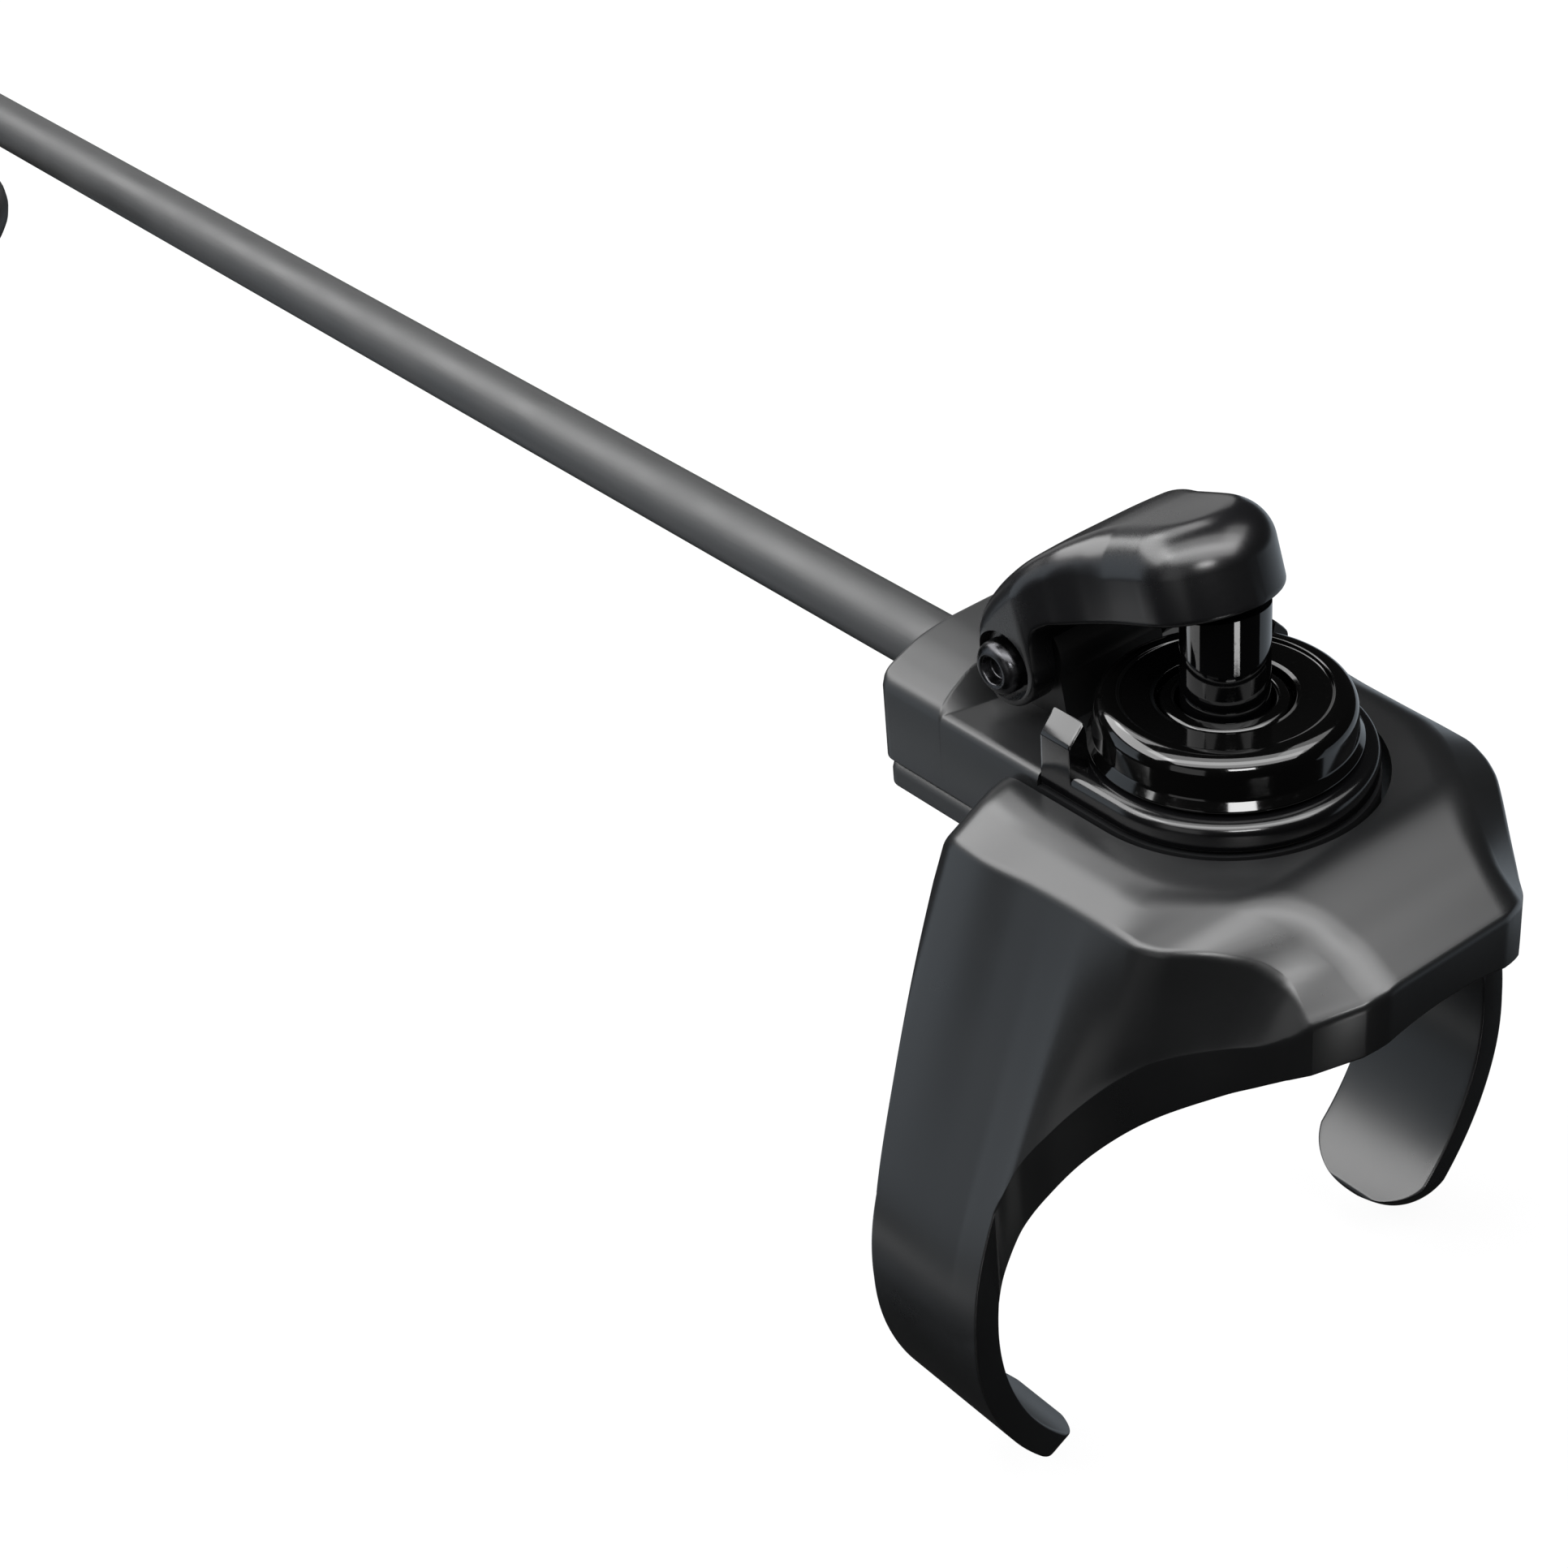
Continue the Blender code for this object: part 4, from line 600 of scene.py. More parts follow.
def clip_rings(side):
    """Cross-sections of one half of the clip, from the end of its arm to the middle of its deck.

    Every ring runs over the outside from the back edge to the front edge, straight down the front
    face, back along the circle round the bar and up the back edge. The arm's end is a half round.
    Rings of the panel end at even steps along the rim; those above it follow the creases.
    """
    middle_x = 0.5 * (ARM_FRONT_X + ARM_BACK_X)
    half_width = 0.5 * (ARM_FRONT_X - ARM_BACK_X)
    round_radius = 1.02 * half_width
    tip = math.radians(ARM_TIP_ANGLE) * ARM_LENGTH_RADIUS
    foot = math.radians(ARM_FOOT_ANGLE) * ARM_LENGTH_RADIUS
    straight_end = tip + round_radius
    place = np.concatenate((straight_end - round_radius * np.sin(np.linspace(0.5 * np.pi, 0.0, 40)),
                            np.linspace(straight_end, foot, 70)[1:]))
    along_arm = (place - tip) / (foot - tip)
    arm = len(place)

    x = np.linspace(CLIP_BACK_X, CLIP_FRONT_X, 460)
    table = clip_outside(x, along_arm, side)
    crease = arm + PANEL_LINES - 1

    def outside(at, line):
        """Points of the outside at places along the bar and fractional line numbers."""
        cell = (at - x[0]) / (x[1] - x[0])
        low = np.clip(cell.astype(int), 0, len(x) - 2)
        part = (cell - low)[..., None]
        left = np.clip(line.astype(int), 0, table.shape[1] - 2)
        over = (line - left)[..., None]
        rows = [table[low + k, left] * (1 - over) + table[low + k, left + 1] * over for k in (0, 1)]
        return np.concatenate((at[..., None], rows[0] * (1 - part) + rows[1] * part), -1)

    upper = np.arange(crease, table.shape[1]).astype(float)
    past = x[x >= ARM_FRONT_X]
    over = outside(np.broadcast_to(past[:, None], (len(past), len(upper))),
                   np.broadcast_to(upper, (len(past), len(upper))))[..., 1] - smooth_keys(RIM, past)[:, None]
    first = np.where((over > 0.0).any(0), np.argmax(over > 0.0, 0), len(past) - 1)
    before = np.maximum(first - 1, 0)
    column = np.arange(len(upper))
    share = over[before, column] / np.minimum(over[before, column] - over[first, column], -1e-9)
    upper_front = np.minimum(past[before] + np.clip(share, 0.0, 1.0) * (past[first] - past[before]), 9.6)

    panel_front = ARM_FRONT_X + (upper_front[0] - ARM_FRONT_X) * np.linspace(0.0, 1.0, 111)[:-1] ** 1.4
    fine = np.linspace(arm - 1.0, crease, 1200)
    grid = np.broadcast_to(fine, (len(panel_front), len(fine)))
    width = outside(np.broadcast_to(panel_front[:, None], grid.shape), grid)[..., 1]
    inside = width < smooth_keys(RIM, panel_front)[:, None]
    panel_line = fine[np.where(inside.any(1), np.argmax(inside, 1), len(fine) - 1)]
    panel_line = np.maximum.accumulate(panel_line)
    panel_line[3:-3] = np.convolve(panel_line, hanning(7), "valid")
    panel_back = arm - 1.0 + (crease - arm + 1.0) * np.linspace(0.0, 1.0, 111)[:-1] ** 1.2
    lead = np.linspace(0.0, 1.0, 6)[1:-1]
    lead_line = arm - 1.0 + (panel_line[0] - arm + 1.0) * lead

    rounding = np.sqrt(np.maximum(round_radius ** 2 - np.maximum(straight_end - place, 0.0) ** 2, 0.0))
    reach = np.minimum(half_width, rounding)
    front = np.concatenate((middle_x + reach, 0.0 * lead + ARM_FRONT_X, panel_front, upper_front))
    front_line = np.concatenate((np.arange(arm), lead_line, panel_line, upper))
    back_line = np.concatenate((np.arange(arm), arm - 1.0 + 0.02 * lead, panel_back + 0.02, upper))
    front_edge = outside(front, front_line)

    steepest = math.radians(6.0)
    inner_turn = np.arccos(np.minimum(front_edge[:, 1] / BAR_RADIUS, math.cos(steepest)))
    tip_turn = math.radians(ARM_TIP_ANGLE)
    inner_turn[:arm] = tip_turn + (steepest - tip_turn) * along_arm
    inner = arm_circle(np.degrees(inner_turn), 0.0)

    def back_of(z):
        """Back edge by height: upright on the arm, sloping back from 3 mm up."""
        return np.maximum(ARM_BACK_X - 0.113 * np.maximum(z - 3.0, 0.0), CLIP_BACK_X)

    back = back_of(outside(0.0 * front + CLIP_BACK_X + 0.6, back_line)[:, 2])
    inner_back = back_of(inner[:, 1])
    back[:arm] = middle_x - reach
    inner_back[:arm] = middle_x - reach
    over_count, under_count = 61, 17
    t = np.linspace(0.0, 1.0, over_count)
    top = outside(back[:, None] + (front - back)[:, None] * t,
                  back_line[:, None] + (front_line - back_line)[:, None] * t)
    t = np.linspace(1.0, 0.0, under_count)
    under_x = inner_back[:, None] + (front - inner_back)[:, None] * t
    under = np.broadcast_to(inner[:, None], (len(front), under_count, 2))
    under = np.concatenate((under_x[..., None], under), -1)

    thin = np.zeros(len(front))
    thin[:arm] = fillet(place - tip, 0.34)
    for face, sign in ((top, -1.0), (under, 1.0)):
        radial = face[..., 1:] / np.linalg.norm(face[..., 1:], axis=-1, keepdims=True)
        face[..., 1:] += sign * radial * thin[:, None, None]
    edges = np.zeros(over_count + under_count)
    edges[[0, over_count - 1, over_count, -1]] = (0.2, 0.26, 0.12, 0.12)
    return softened(np.concatenate((top, under), 1), edges, 6)


def round_nose(half_width, back_x, steps=72):
    """Plan with straight sides from the back and a half circle at the front."""
    nose = arc((0.0, 0.0), half_width, -90.0, 90.0, steps)
    return np.concatenate((nose, [(back_x, half_width), (back_x, -half_width)]))


def make_clip():
    """The near half mirrored and joined to the far half, with the block's pocket and rail groove."""
    rings = np.concatenate((clip_rings("near") * [1.0, -1.0, 1.0], clip_rings("far")[-2::-1]))
    clip = loft("moulded_clip", rings)
    pocket_half = BLOCK_HALF_WIDTH + POCKET_PLAY
    groove = pocket_half + 0.5
    back = -7.0
    worked(clip,
           prism("pocket", round_nose(pocket_half, back), "Z", 7.2, DECK_Z + 2.0),
           prism("rail_groove", box(-groove, groove, 13.7, 15.1), "X", back, 0.3))
    return dress(clip, "clip_plastic", "block_and_clip", "clip_bracket", sharp=35)


make_clip()


# Switch block

def block_solid(name, half, back_x, low, high, roof=None):
    """Round-nosed block with every outer edge rounded, as sections along the bar.

    roof(x, y) is added to its top, and its back corners are rounded in plan.
    """
    back_edge = back_x + 0.6 * (1.0 - np.cos(np.linspace(0.02, 0.5 * np.pi, 20)))
    ramp = np.linspace(-9.6, -7.4, 60)
    nose = (half - 0.01) * np.sin(np.linspace(0.05, 0.5 * np.pi, 48))
    x = np.concatenate((back_edge, np.linspace(back_x + 0.7, -9.7, 8), ramp, np.linspace(-7.2, 0.0, 12), nose))
    width = np.where(x > 0.0, np.sqrt(np.maximum(half ** 2 - x ** 2, 0.0)), half) - fillet(x - back_x, 0.55)
    inset = fillet(x - back_x, 0.25)
    share = np.linspace(-1.0, 1.0, 121)
    y = width[:, None] * share
    top = high - inset[:, None] + (0.0 * y if roof is None else roof(x[:, None], y))
    left = np.stack([-width, low + inset], -1)[:, None]
    section = np.concatenate((left, np.stack([y, top], -1), left * [-1.0, 1.0]), 1)
    reach = np.zeros(section.shape[1])
    reach[[0, 1, -2, -1]] = 0.12, 0.0, 0.0, 0.12
    section = softened(section, reach, 5)
    rim = fillet(width[:, None] - np.abs(section[..., 0]), 0.32)
    upper = section[..., 1] > 0.5 * (low + high)
    section[..., 1] -= np.where(upper, rim, 0.0)
    return loft(name, along("X", section, x[:, None]))


def block_roof(x, y):
    """Arched roof over the back of the block; a ramp of 45 degrees brings it down to the seat."""
    side = np.abs(y)
    arch = smooth_keys([(0.0, 1.15), (1.6, 1.13), (2.9, 0.98), (4.0, 0.6), (4.7, 0.24), (5.0, 0.0)], side)
    front = smooth_keys([(0.0, -8.6), (2.3, -8.6), (3.2, -8.75), (4.6, -9.1), (5.0, -9.3)], side)
    return np.maximum(np.minimum(arch, front + 0.95 - x), 0.0)


def chamber_plan():
    """Space inside the block, narrower between the two cover screws."""
    half, neck, waist_x, back_x = 3.4, 2.6, -7.7, -10.3
    corners = [(waist_x, half), (waist_x, neck), (back_x, neck), (back_x, -neck), (waist_x, -neck),
               (waist_x, -half)]
    return np.concatenate((arc((0.0, 0.0), half, -90.0, 90.0, 48), corners))


def nose_step_plan():
    """Lowered nose of the block, round the button's foot and behind a straight back edge."""
    beyond, back_x = 6.0, -3.5
    turn = math.degrees(math.acos(back_x / BOOT_RADIUS))
    return np.concatenate((arc((0.0, 0.0), beyond, -90.0, 90.0, 24), [(back_x, beyond)],
                           arc((0.0, 0.0), BOOT_RADIUS, turn, 360.0 - turn, 40), [(back_x, -beyond)]))


def make_housing():
    """Upper shell of the block, with the lever's lug and the rails, hollow for the switch."""
    housing = block_solid("moulded_housing", BLOCK_HALF_WIDTH, BLOCK_BACK_X, BLOCK_BOTTOM_Z, BLOCK_SEAT_Z,
                          block_roof)
    lug = np.concatenate((arc((PIVOT_X, PIVOT_Z), 1.45, -20.0, 148.0, 36),
                          [(-9.0, 17.6), (-9.6, 17.3), (-9.6, 16.3), (-4.85, 16.3)]))
    rails = [prism("rail", box(side * 4.6, side * 5.5, 14.0, 14.8), "X", -4.4, -0.3) for side in (-1.0, 1.0)]
    worked(housing,
           prism("nose_step", nose_step_plan(), "Z", 16.1, 17.6),
           prism("chamber", chamber_plan(), "Z", 12.5, 16.0),
           turned("nose_bore", rod(3.3, 14.5, 17.6)),
           cable_way(),
           turned("pin_bore", rod(PIN_BORE_RADIUS, -3.6, 3.6), (PIVOT_X, 0, PIVOT_Z), "Y", 48),
           joined=[prism("lug", lug, "Y", -LUG_HALF_WIDTH, LUG_HALF_WIDTH), *rails])
    for side in (-1.0, 1.0):
        place = (COVER_SCREW_X, COVER_SCREW_Y * side, 0.0)
        worked(housing, turned("screw_bore", rod(0.55, 12.5, 15.4), place, steps=24))
    return dress(housing, "housing_plastic", "block_and_clip", "switch_housing", sharp=35)


def cable_way():
    """Cutter for the cable's bore and the wider bed of its crimped ring."""
    bore, bed, step_x, end_x = CABLE_RADIUS + 0.15, 1.8, -10.4, -8.65
    profile = [(0, -12.6), (bore, -12.6), (bore, step_x), (bed, step_x), (bed, end_x), (0, end_x)]
    return turned("cable_way", profile, (0, 0, CABLE_Z), "X", 48)


def make_bottom_cover():
    """Lower shell of the block, with a shallow tray and two counterbored screw holes."""
    cover = block_solid("moulded_cover", BLOCK_HALF_WIDTH - 0.1, BLOCK_BACK_X + 0.1, 12.4, 13.35)
    worked(cover,
           prism("tray", chamber_plan(), "Z", 12.95, 14.4),
           cable_way())
    head, shaft, seat_z = 0.85, 0.55, 12.85
    profile = [(0, 11.4), (head, 11.4), (head, seat_z), (shaft, seat_z), (shaft, 14.4), (0, 14.4)]
    for side in (-1.0, 1.0):
        place = (COVER_SCREW_X, COVER_SCREW_Y * side, 0.0)
        worked(cover, turned("screw_hole", profile, place, steps=32))
    return dress(cover, "cover_plastic", "block_and_clip", "bottom_cover", sharp=35)


def flange_rings():
    """Sections of the flange from its one back end round the front to the other.

    Outside: straight sides and a half circle. Inside: a circle for the button, wider below.
    """
    back, neck, seat = -3.35, BOOT_RADIUS - 0.55, BOOT_RADIUS - 0.15
    straight = np.linspace(back, 0.0, 24)[:-1]
    turn = np.radians(np.linspace(90.0, -90.0, 121))
    half = np.stack([straight, 0 * straight + NOSE_RADIUS], -1)
    outline = np.concatenate((half, NOSE_RADIUS * np.stack([np.cos(turn), np.sin(turn)], -1),
                              half[::-1] * [1.0, -1.0]))

    def open_circle(radius):
        """Circle from the back on one side round the front to the back on the other."""
        start = math.acos(back / radius)
        sweep = np.concatenate((np.linspace(start, 0.5 * np.pi, 24)[:-1], turn,
                                np.linspace(-0.5 * np.pi, -start, 24)[1:]))
        return radius * np.stack([np.cos(sweep), np.sin(sweep)], -1)

    foot_z, bed_z = 16.25, 16.7
    corners = [(outline, foot_z), (outline, NOSE_TOP_Z), (open_circle(neck), NOSE_TOP_Z),
               (open_circle(neck), bed_z), (open_circle(seat), bed_z), (open_circle(seat), foot_z)]
    rings = np.stack([along("Z", flat, level) for flat, level in corners], 1)
    return softened(rings, [0.05, 0.46, 0.08, 0.04, 0.04, 0.04], 8)


def make_nose_cover():
    """Flange over the block's nose, with an upright tab on each side."""
    cover = loft("nose_flange", flange_rings())
    back, front = -3.35, -1.95
    x = np.array([back, -3.31, -3.25, -2.05, -1.99, front])
    inset = fillet(np.minimum(x - back, front - x), 0.1)[:, None, None]
    half_tab = rounded_profile([(4.95, 16.7, 0.0), (4.95, 18.25, 0.1), (4.75, 18.5, 0.08), (4.3, 18.95, 0.06),
                                (4.2, 18.5, 0.08), (4.1, 16.7, 0.0)], 5)
    for side in (-1.0, 1.0):
        tab = half_tab * [side, 1.0]
        middle = np.array([4.6 * side, 17.5])
        rings = along("X", tab + (middle - tab) * inset * 0.6, x[:, None])
        worked(cover, joined=[loft("tab", rings)])
    return dress(cover, "nose_plastic", "block_and_clip", "nose_cover", sharp=35)


def make_boot():
    """Glossy button tower; its profile's corners are rounded one by one."""
    foot_z, base_z, roof_z = 16.295, NOSE_TOP_Z + 0.15, BOOT_TOP_Z - 0.6
    corners = [
        (3.2, foot_z, 0.0), (4.15, foot_z, 0.05), (4.15, foot_z + 0.3, 0.05), (3.75, foot_z + 0.3, 0.05),
        (3.75, base_z, 0.05), (BOOT_RADIUS, base_z, 0.04), (BOOT_RADIUS, base_z + 0.06, 0.03),
        (4.26, base_z + 0.36, 0.06)]
    corners += [(r, z, 0.0) for r, z in arc((3.58, BOOT_TOP_Z - 0.64), 0.64, 0.0, 90.0, 15)]
    corners += [(3.45, BOOT_TOP_Z, 0.06), (3.38, BOOT_TOP_Z - 0.1, 0.05), (2.4, BOOT_TOP_Z - 0.12, 0.03),
                (BOOT_HOLE_RADIUS, BOOT_TOP_Z - 0.16, 0.03), (BOOT_HOLE_RADIUS, roof_z, 0.0),
                (3.2, roof_z, 0.0)]
    boot = turned("glossy_boot", rounded_profile(corners, 9), steps=160, sharp=50)
    return dress(boot, "boot_rubber", "block_and_clip", "button_boot")


def make_seal():
    """Ring that wipes the push rod, with a lip round its hole."""
    inner, outer, top, roof = 1.6, 2.1, BOOT_TOP_Z - 0.24, BOOT_TOP_Z - 0.75
    corners = [(inner, roof - 0.2), (2.75, roof - 0.2), (2.75, roof), (outer, roof), (outer, top - 0.1),
               (outer - 0.1, top), (inner + 0.12, top + 0.06), (inner, top)]
    seal = turned("lip_seal", softened(corners, 0.06, 5), steps=96, sharp=50)
    return dress(seal, "seal_rubber", "block_and_clip", "wiper_seal")


def underside_z():
    """Height of the cap's flat underside straight above the push rod."""
    reach_x = PIVOT_X + LEVER_CAP_X * math.cos(LEVER_PITCH) - LEVER_UNDER * math.sin(LEVER_PITCH)
    reach_z = PIVOT_Z + LEVER_CAP_X * math.sin(LEVER_PITCH) + LEVER_UNDER * math.cos(LEVER_PITCH)
    return reach_z - reach_x * math.tan(LEVER_PITCH)


def make_plunger():
    """Push rod: a small foot, a flange under the seal and a shaft with its top cut under the lever.

    The cut slopes half a press less than the lever does, so the lever clears it at both ends.
    """
    slope = math.tan(LEVER_PITCH - 0.5 * LEVER_PRESS)
    middle = underside_z() - PLUNGER_GAP
    foot, flange, flange_z = 1.0, 2.4, 17.25
    corners = [(0.0, 16.95), (foot, 16.95), (foot, flange_z), (flange, flange_z), (flange, flange_z + 0.35),
               (PLUNGER_RADIUS, flange_z + 0.35), (PLUNGER_RADIUS, 24.0), (0.0, 24.0)]
    shaft = turned("push_rod_shaft", softened(corners, 0.08, 6, closed=False), steps=96, sharp=50)
    wide = 3.0
    above = [(-wide, middle - wide * slope), (wide, middle + wide * slope), (wide, 26.0), (-wide, 26.0)]
    worked(shaft, prism("slanted_cut", above, "Y", -wide, wide))
    return dress(shaft, "plunger_plastic", "push_rod", "plunger", sharp=50)


# Lever

def lever_place():
    """From the lever's own axes, which start at the pivot, to the object's."""
    return Matrix.Translation((PIVOT_X, 0.0, PIVOT_Z)) @ Matrix.Rotation(-LEVER_PITCH, 4, "Y")


def lever_sections(x):
    """Section at every place x from the pivot: flat underside, upright sides and a flat crown.

    The crown lies at top(x) less LEVER_DOME * (1 - inside / LEVER_CAP_RADIUS) ** 2 and a
    rounded edge, inside being the distance from the outline; the edge grows from LEVER_EDGE
    on the arm to LEVER_CAP_EDGE. The outline ends in half a circle round LEVER_CAP_X.
    """
    top = smooth_keys(LEVER_TOP, x)
    ball = np.sqrt(np.maximum(LEVER_CAP_RADIUS ** 2 - (x - LEVER_CAP_X) ** 2, 0.0))
    half = np.where(x > LEVER_CAP_X, ball, smooth_keys(LEVER_HALF_WIDTH, x))
    hub = -np.sqrt(np.maximum(LEVER_HUB_RADIUS ** 2 - x * x, 0.0))
    hollow = smooth_keys([(LEVER_HUB_RADIUS, -0.05), (1.62, 0.75), (1.95, 1.3), (2.45, LEVER_UNDER)], x)
    low = np.where(x < LEVER_HUB_RADIUS, hub, hollow)
    angle = np.linspace(0.0, np.pi, 97)
    across = half[:, None] * np.copysign(np.abs(np.cos(angle)) ** 0.7, np.cos(angle))
    beyond = x[:, None] - LEVER_CAP_X
    inside = np.where(beyond < 0.0, half[:, None] - np.abs(across),
                      LEVER_CAP_RADIUS - np.hypot(beyond, across))
    inside = np.maximum(inside, 0.0)
    share = np.clip((x - 3.0) / 3.2, 0.0, 1.0)
    edge = LEVER_EDGE + (LEVER_CAP_EDGE - LEVER_EDGE) * share * share * (3.0 - 2.0 * share)
    edge = np.minimum(edge, 0.45 * (top - low))[:, None]
    dome = LEVER_DOME * np.clip(1.0 - inside / LEVER_CAP_RADIUS, 0.0, 1.0) ** 2
    rise = top[:, None] - dome - fillet(inside, edge)
    crown = np.stack([across, np.maximum(rise, low[:, None] + 0.02)], -1)
    floor = np.stack([np.stack([-half, low], -1), np.stack([half, low], -1)], 1)
    section = np.concatenate((floor, crown), 1)
    reach = np.zeros(section.shape[1])
    reach[:2] = 0.22
    return softened(section, reach, 7)


def make_lever():
    """Arm and cap, with the fork's slot, the screw's hole and seat, and a core in the underside."""
    hub = LEVER_HUB_RADIUS * np.cos(np.linspace(3.04, 0.0, 40))
    cap = LEVER_CAP_X + LEVER_CAP_RADIUS * np.sin(np.radians(np.linspace(0.0, 86.0, 60)))
    x = np.concatenate((hub, np.linspace(1.53, LEVER_CAP_X - 0.1, 70), cap))
    arm = loft("moulded_lever", along("X", lever_sections(x), x[:, None]))
    slot = np.concatenate((arc((0.0, 0.0), 1.75, 180.0, 0.0, 36), [(1.75, -4.0), (-1.75, -4.0)]))
    slot_half = LUG_HALF_WIDTH + 0.3
    core = [(2.7, -1.6), (3.0, -1.8), (4.2, -1.5), (4.2, 1.5), (3.0, 1.8), (2.7, 1.6)]
    worked(arm,
           prism("fork_slot", slot, "Y", -slot_half, slot_half),
           turned("pin_hole", rod(PIN_BORE_RADIUS, -5, 5), axis="Y", steps=48),
           turned("counterbore", rod(1.25, -5, -3.2), axis="Y", steps=64),
           prism("core", core, "Z", 0.0, LEVER_UNDER + 1.0))
    return dress(arm, "lever_plastic", "lever_arm", "lever", place=lever_place(), sharp=35)


def make_pivot_screw():
    """Shouldered screw with a domed head and a round socket."""
    face, under, end = -4.1, -3.35, 3.5
    corners = [(0.0, face + 0.45, 0.0), (0.42, face + 0.4, 0.05), (0.5, face + 0.04, 0.05),
               (0.62, face, 0.06), (0.83, face + 0.1, 0.1), (0.95, face + 0.28, 0.1), (0.95, under, 0.03),
               (0.7, under, 0.03), (0.7, end - 0.1, 0.06), (0.6, end, 0.06), (0.0, end, 0.0)]
    screw = turned("socket_screw", rounded_profile(corners, 7, closed=False), axis="Y", steps=64, sharp=50)
    return dress(screw, "screw_steel", "lever_arm", "pivot_screw", place=lever_place())


make_housing()
make_bottom_cover()
make_nose_cover()
make_boot()
make_seal()
make_plunger()
make_lever()
make_pivot_screw()


# Finishes of the nodes that keep their own shape

kept = {
    "cover_screw_1": "cover_screw_steel", "cover_screw_2": "cover_screw_steel",
    "circuit_board": "board_laminate", "switch_base": "switch_nylon", "switch_frame": "frame_steel",
    "snap_dome": "dome_steel", "switch_stem": "stem_nylon", "cable_ferrule": "ferrule_brass",
    "signal_wire_near": "wire_red", "signal_wire_far": "wire_white",
    "plug_contact_1": "contact_gold", "plug_contact_2": "contact_gold",
}
for node_name, finish_name in kept.items():
    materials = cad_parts[node_name].data.materials
    materials.clear()
    materials.append(finishes[finish_name])


# Tie and plug

def make_coil_tie():
    """Closed strap round the coil's turns."""
    margin = 1.04 * CABLE_RADIUS + 0.3
    low, high = TAIL_Z - margin, CABLE_Z + margin
    left, right = -2.0 * COIL_RADIUS - margin, -2.0 * COIL_RADIUS + margin
    outer = box(left - TIE_WALL, right + TIE_WALL, low - TIE_WALL, high + TIE_WALL)
    outer = softened(outer, 1.2, 12)
    inner = softened(box(left, right + 0.25, low, high), 0.5, 12)
    width = 2.0 * TIE_HALF_WIDTH
    x = np.array([0.0, 0.06, 0.15, width - 0.15, width - 0.06, width])
    inset = fillet(np.minimum(x, width - x), 0.15)[:, None, None]
    centre = outer.mean(0)
    rings = along("X", centre + (outer - centre) * (1.0 - 0.12 * inset), COIL_X - TIE_HALF_WIDTH + x[:, None])
    tie = loft("strap", rings)
    worked(tie, prism("strap_hole", inner, "X", COIL_X - width, COIL_X + width))
    return dress(tie, "tie_nylon", "block_and_clip", "coil_tie", sharp=40)


def plug_piece(name, corners, steps):
    """Turned piece on the cable's end, from (radius, way along the plug, reach) corners."""
    profile = rounded_profile(np.array(corners) * [1.0, -1.0, 1.0] + [0.0, PLUG_START_X, 0.0], steps)
    return turned(name, profile, centre=(0.0, 0.0, TAIL_Z), axis="X", steps=96, sharp=40)


def make_plug_body():
    """Water-tight plug: strain relief with rings, a ribbed grip, the seal's groove and a socket."""
    corners = [(0.0, 0.0, 0.0), (1.45, 0.0, 0.08)]
    for k in range(4):
        radius, start = 1.58 + 0.02 * k, 0.42 * k
        corners += [(radius, start + 0.1, 0.05), (radius, start + 0.3, 0.05), (1.44, start + 0.36, 0.03),
                    (1.44, start + 0.46, 0.03)]
    corners += [(1.7, 1.85, 0.1), (2.2, 2.5, 0.25)]
    for k in range(5):
        start = 0.6 * k
        corners += [(2.2, start + 3.3, 0.06), (2.08, start + 3.4, 0.05), (2.08, start + 3.56, 0.05),
                    (2.2, start + 3.66, 0.06)]
    corners += [(2.2, 7.0, 0.12), (1.95, 7.2, 0.06), (1.95, 7.4, 0.05), (1.5, 7.5, 0.04), (1.5, 8.3, 0.04),
                (1.95, 8.4, 0.05), (1.95, 11.85, 0.1), (1.85, 12.0, 0.05), (1.42, 12.0, 0.05),
                (1.35, 11.9, 0.05), (1.35, 8.5, 0.0), (0.0, 8.5, 0.0)]
    return dress(plug_piece("plug_shell", corners, 5), "plug_plastic", "block_and_clip", "plug_body")


def make_plug_seal():
    """Rubber ring with two round lips."""
    lips = [(1.65, 0.65), (1.65, 0.05), (2.0, 0.0), (2.2, 0.08), (2.2, 0.26), (2.05, 0.35), (2.2, 0.44),
            (2.2, 0.62), (2.0, 0.7)]
    corners = [(radius, 7.55 + way, 0.07) for radius, way in lips]
    return dress(plug_piece("plug_ring", corners, 5), "plug_rubber", "block_and_clip", "plug_seal")


end_pieces = [make_coil_tie(), make_plug_body(), make_plug_seal(),
              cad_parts["plug_contact_1"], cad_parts["plug_contact_2"]]


# Floor, world and lamps

def make_floor():
    """Wide pale floor just under the arms' ends; mirror-like finishes look past it into the room."""
    edge = 6.0
    level = -0.0095
    mesh = bpy.data.meshes.new("floor")
    mesh.from_pydata([(-edge, -edge, level), (edge, -edge, level), (edge, edge, level), (-edge, edge, level)],
                     [], [(0, 1, 2, 3)])
    floor = bpy.data.objects.new("floor", mesh)
    bpy.context.scene.collection.objects.link(floor)
    finish = Finish("floor_paper", (0.82, 0.82, 0.83), 0.9)
    white = finish.node("ShaderNodeEmission", {}, {"Color": (1.0, 1.0, 1.0, 1.0), "Strength": 1.0})
    camera_ray = finish.node("ShaderNodeLightPath", {}, {}, "Is Camera Ray")
    body = Socket(finish, finish.shader.outputs[0])
    shown = finish.node("ShaderNodeMixShader", {}, {0: camera_ray * 0.93, 1: body, 2: white})
    finish.tree.links.new(shown.socket, finish.tree.nodes["Material Output"].inputs["Surface"])
    mesh.materials.append(finish.material)
    floor.visible_glossy = False
    floor.visible_diffuse = False
    floor.visible_shadow = False


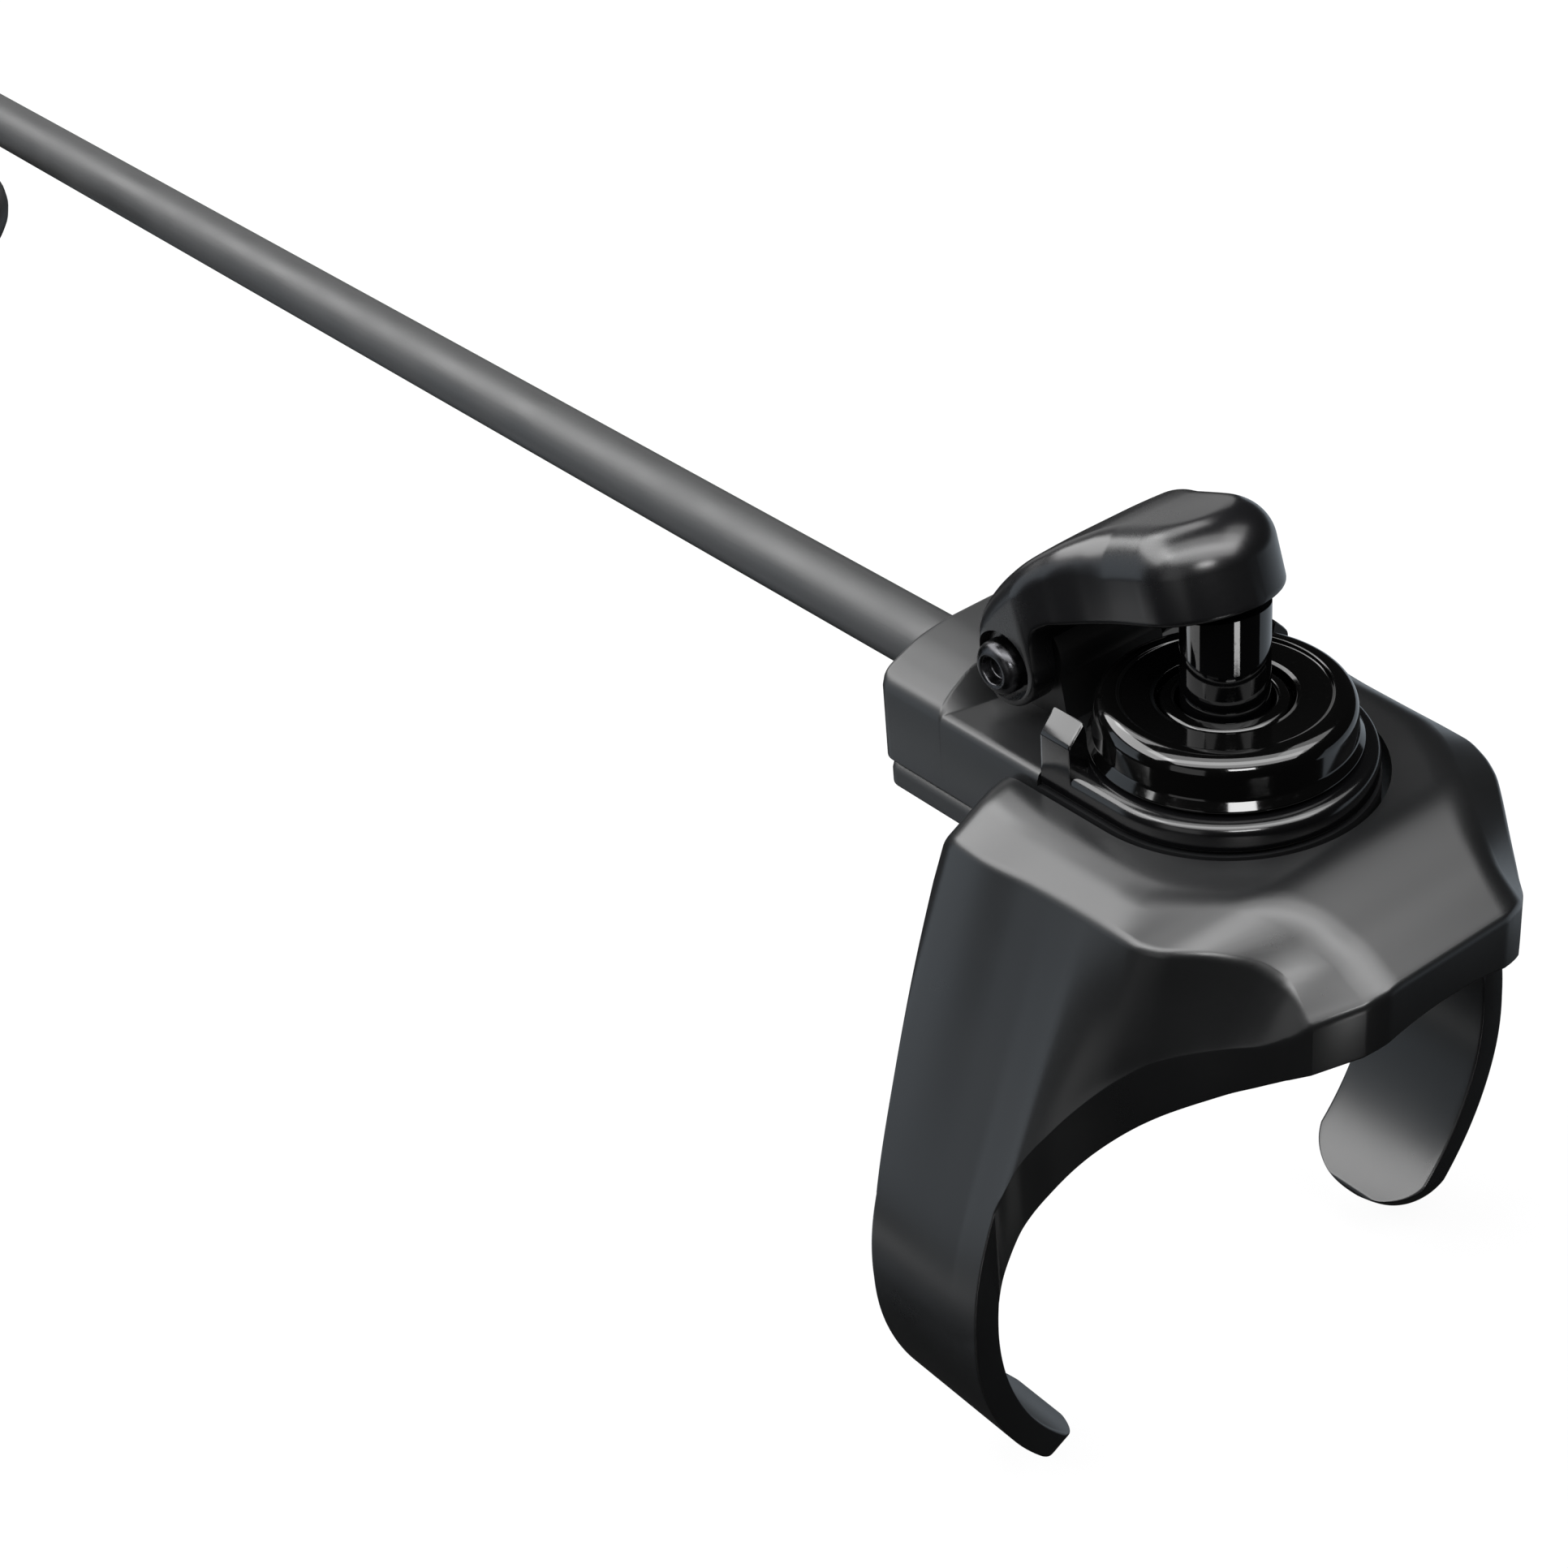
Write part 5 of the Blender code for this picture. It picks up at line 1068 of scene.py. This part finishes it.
def make_world():
    """Room: white where it is seen, a weak even light on the object and dim in its gloss."""
    world = bpy.data.worlds.new("room")
    bpy.context.scene.world = world
    world.use_nodes = True
    tree = world.node_tree
    rays = tree.nodes.new("ShaderNodeLightPath")
    strength = 0.10
    for ray, change in (("Is Camera Ray", 0.90), ("Is Transmission Ray", 0.90), ("Is Glossy Ray", -0.08)):
        step = tree.nodes.new("ShaderNodeMath")
        step.operation = "MULTIPLY_ADD"
        tree.links.new(rays.outputs[ray], step.inputs[0])
        step.inputs[1].default_value = change
        if isinstance(strength, float):
            step.inputs[2].default_value = strength
        else:
            tree.links.new(strength, step.inputs[2])
        strength = step.outputs[0]
    tree.links.new(strength, tree.nodes["Background"].inputs["Strength"])
    tree.nodes["Background"].inputs["Color"].default_value = (1.0, 1.0, 1.0, 1.0)


def lamp(name, turn, rise, size, radiance, tint=PLAIN_WHITE, gloss_only=False):
    """Rectangular softbox that faces the object.

    turn is its direction in degrees, counter-clockwise from the camera's, and rise its height above
    the horizon. size is (width, height) in degrees as the object sees it, radiance its brightness.
    A lamp for the gloss only is seen in reflections and lights nothing else.
    """
    angle = CAMERA_TURN + math.radians(turn)
    rise = math.radians(rise)
    way = np.array([math.cos(angle) * math.cos(rise), math.sin(angle) * math.cos(rise), math.sin(rise)])
    width, height = (2.0 * LAMP_DISTANCE * math.tan(math.radians(0.5 * part)) for part in size)
    data = bpy.data.lights.new(name, "AREA")
    data.shape = "RECTANGLE"
    data.size = width
    data.size_y = height
    data.energy = radiance * math.pi * width * height
    data.color = tint
    obj = bpy.data.objects.new(name, data)
    bpy.context.scene.collection.objects.link(obj)
    right = np.array([-math.sin(angle), math.cos(angle), 0.0])
    up = np.cross(way, right)
    stand = np.eye(4)
    stand[:3] = np.stack([right, up, way, LAMP_AIM + LAMP_DISTANCE * way], -1)
    obj.matrix_world = Matrix(stand.tolist())
    obj.visible_camera = False
    if gloss_only:
        obj.visible_diffuse = False
        obj.visible_transmission = False


make_floor()
make_world()
lamp("overhead_softbox", 0.0, 72.0, (100.0, 38.0), 4.0)
lamp("crescent_strip", 0.0, 54.0, (92.0, 32.0), 5.5, gloss_only=True)
lamp("back_softbox", 200.0, 50.0, (34.0, 22.0), 4.6)
lamp("low_back_card", 187.0, 9.0, (40.0, 24.0), 0.7, gloss_only=True)
lamp("right_softbox", 92.0, 52.0, (34.0, 26.0), 2.6)
lamp("near_softbox", -104.0, 38.0, (68.0, 30.0), 7.5)
lamp("window_card", 4.0, 26.0, (20.0, 9.0), 20.0, gloss_only=True)
lamp("front_strip", 19.0, -32.0, (12.0, 5.0), 9.0, gloss_only=True)
lamp("left_strip", -99.0, -32.0, (40.0, 4.0), 1.4, gloss_only=True)
lamp("left_side_card", -101.0, -2.0, (34.0, 38.0), 1.0, COOL_WHITE, gloss_only=True)
lamp("left_low_card", -120.0, -36.0, (22.0, 16.0), 0.8, COOL_WHITE, gloss_only=True)
lamp("front_left_card", -40.0, 4.0, (28.0, 30.0), 0.8, gloss_only=True)
lamp("right_back_card", 120.0, -22.0, (88.0, 28.0), 0.6, COOL_WHITE, gloss_only=True)


# Sizes and the table

def corners(box):
    return [[float(value) for value in corner] for corner in box]
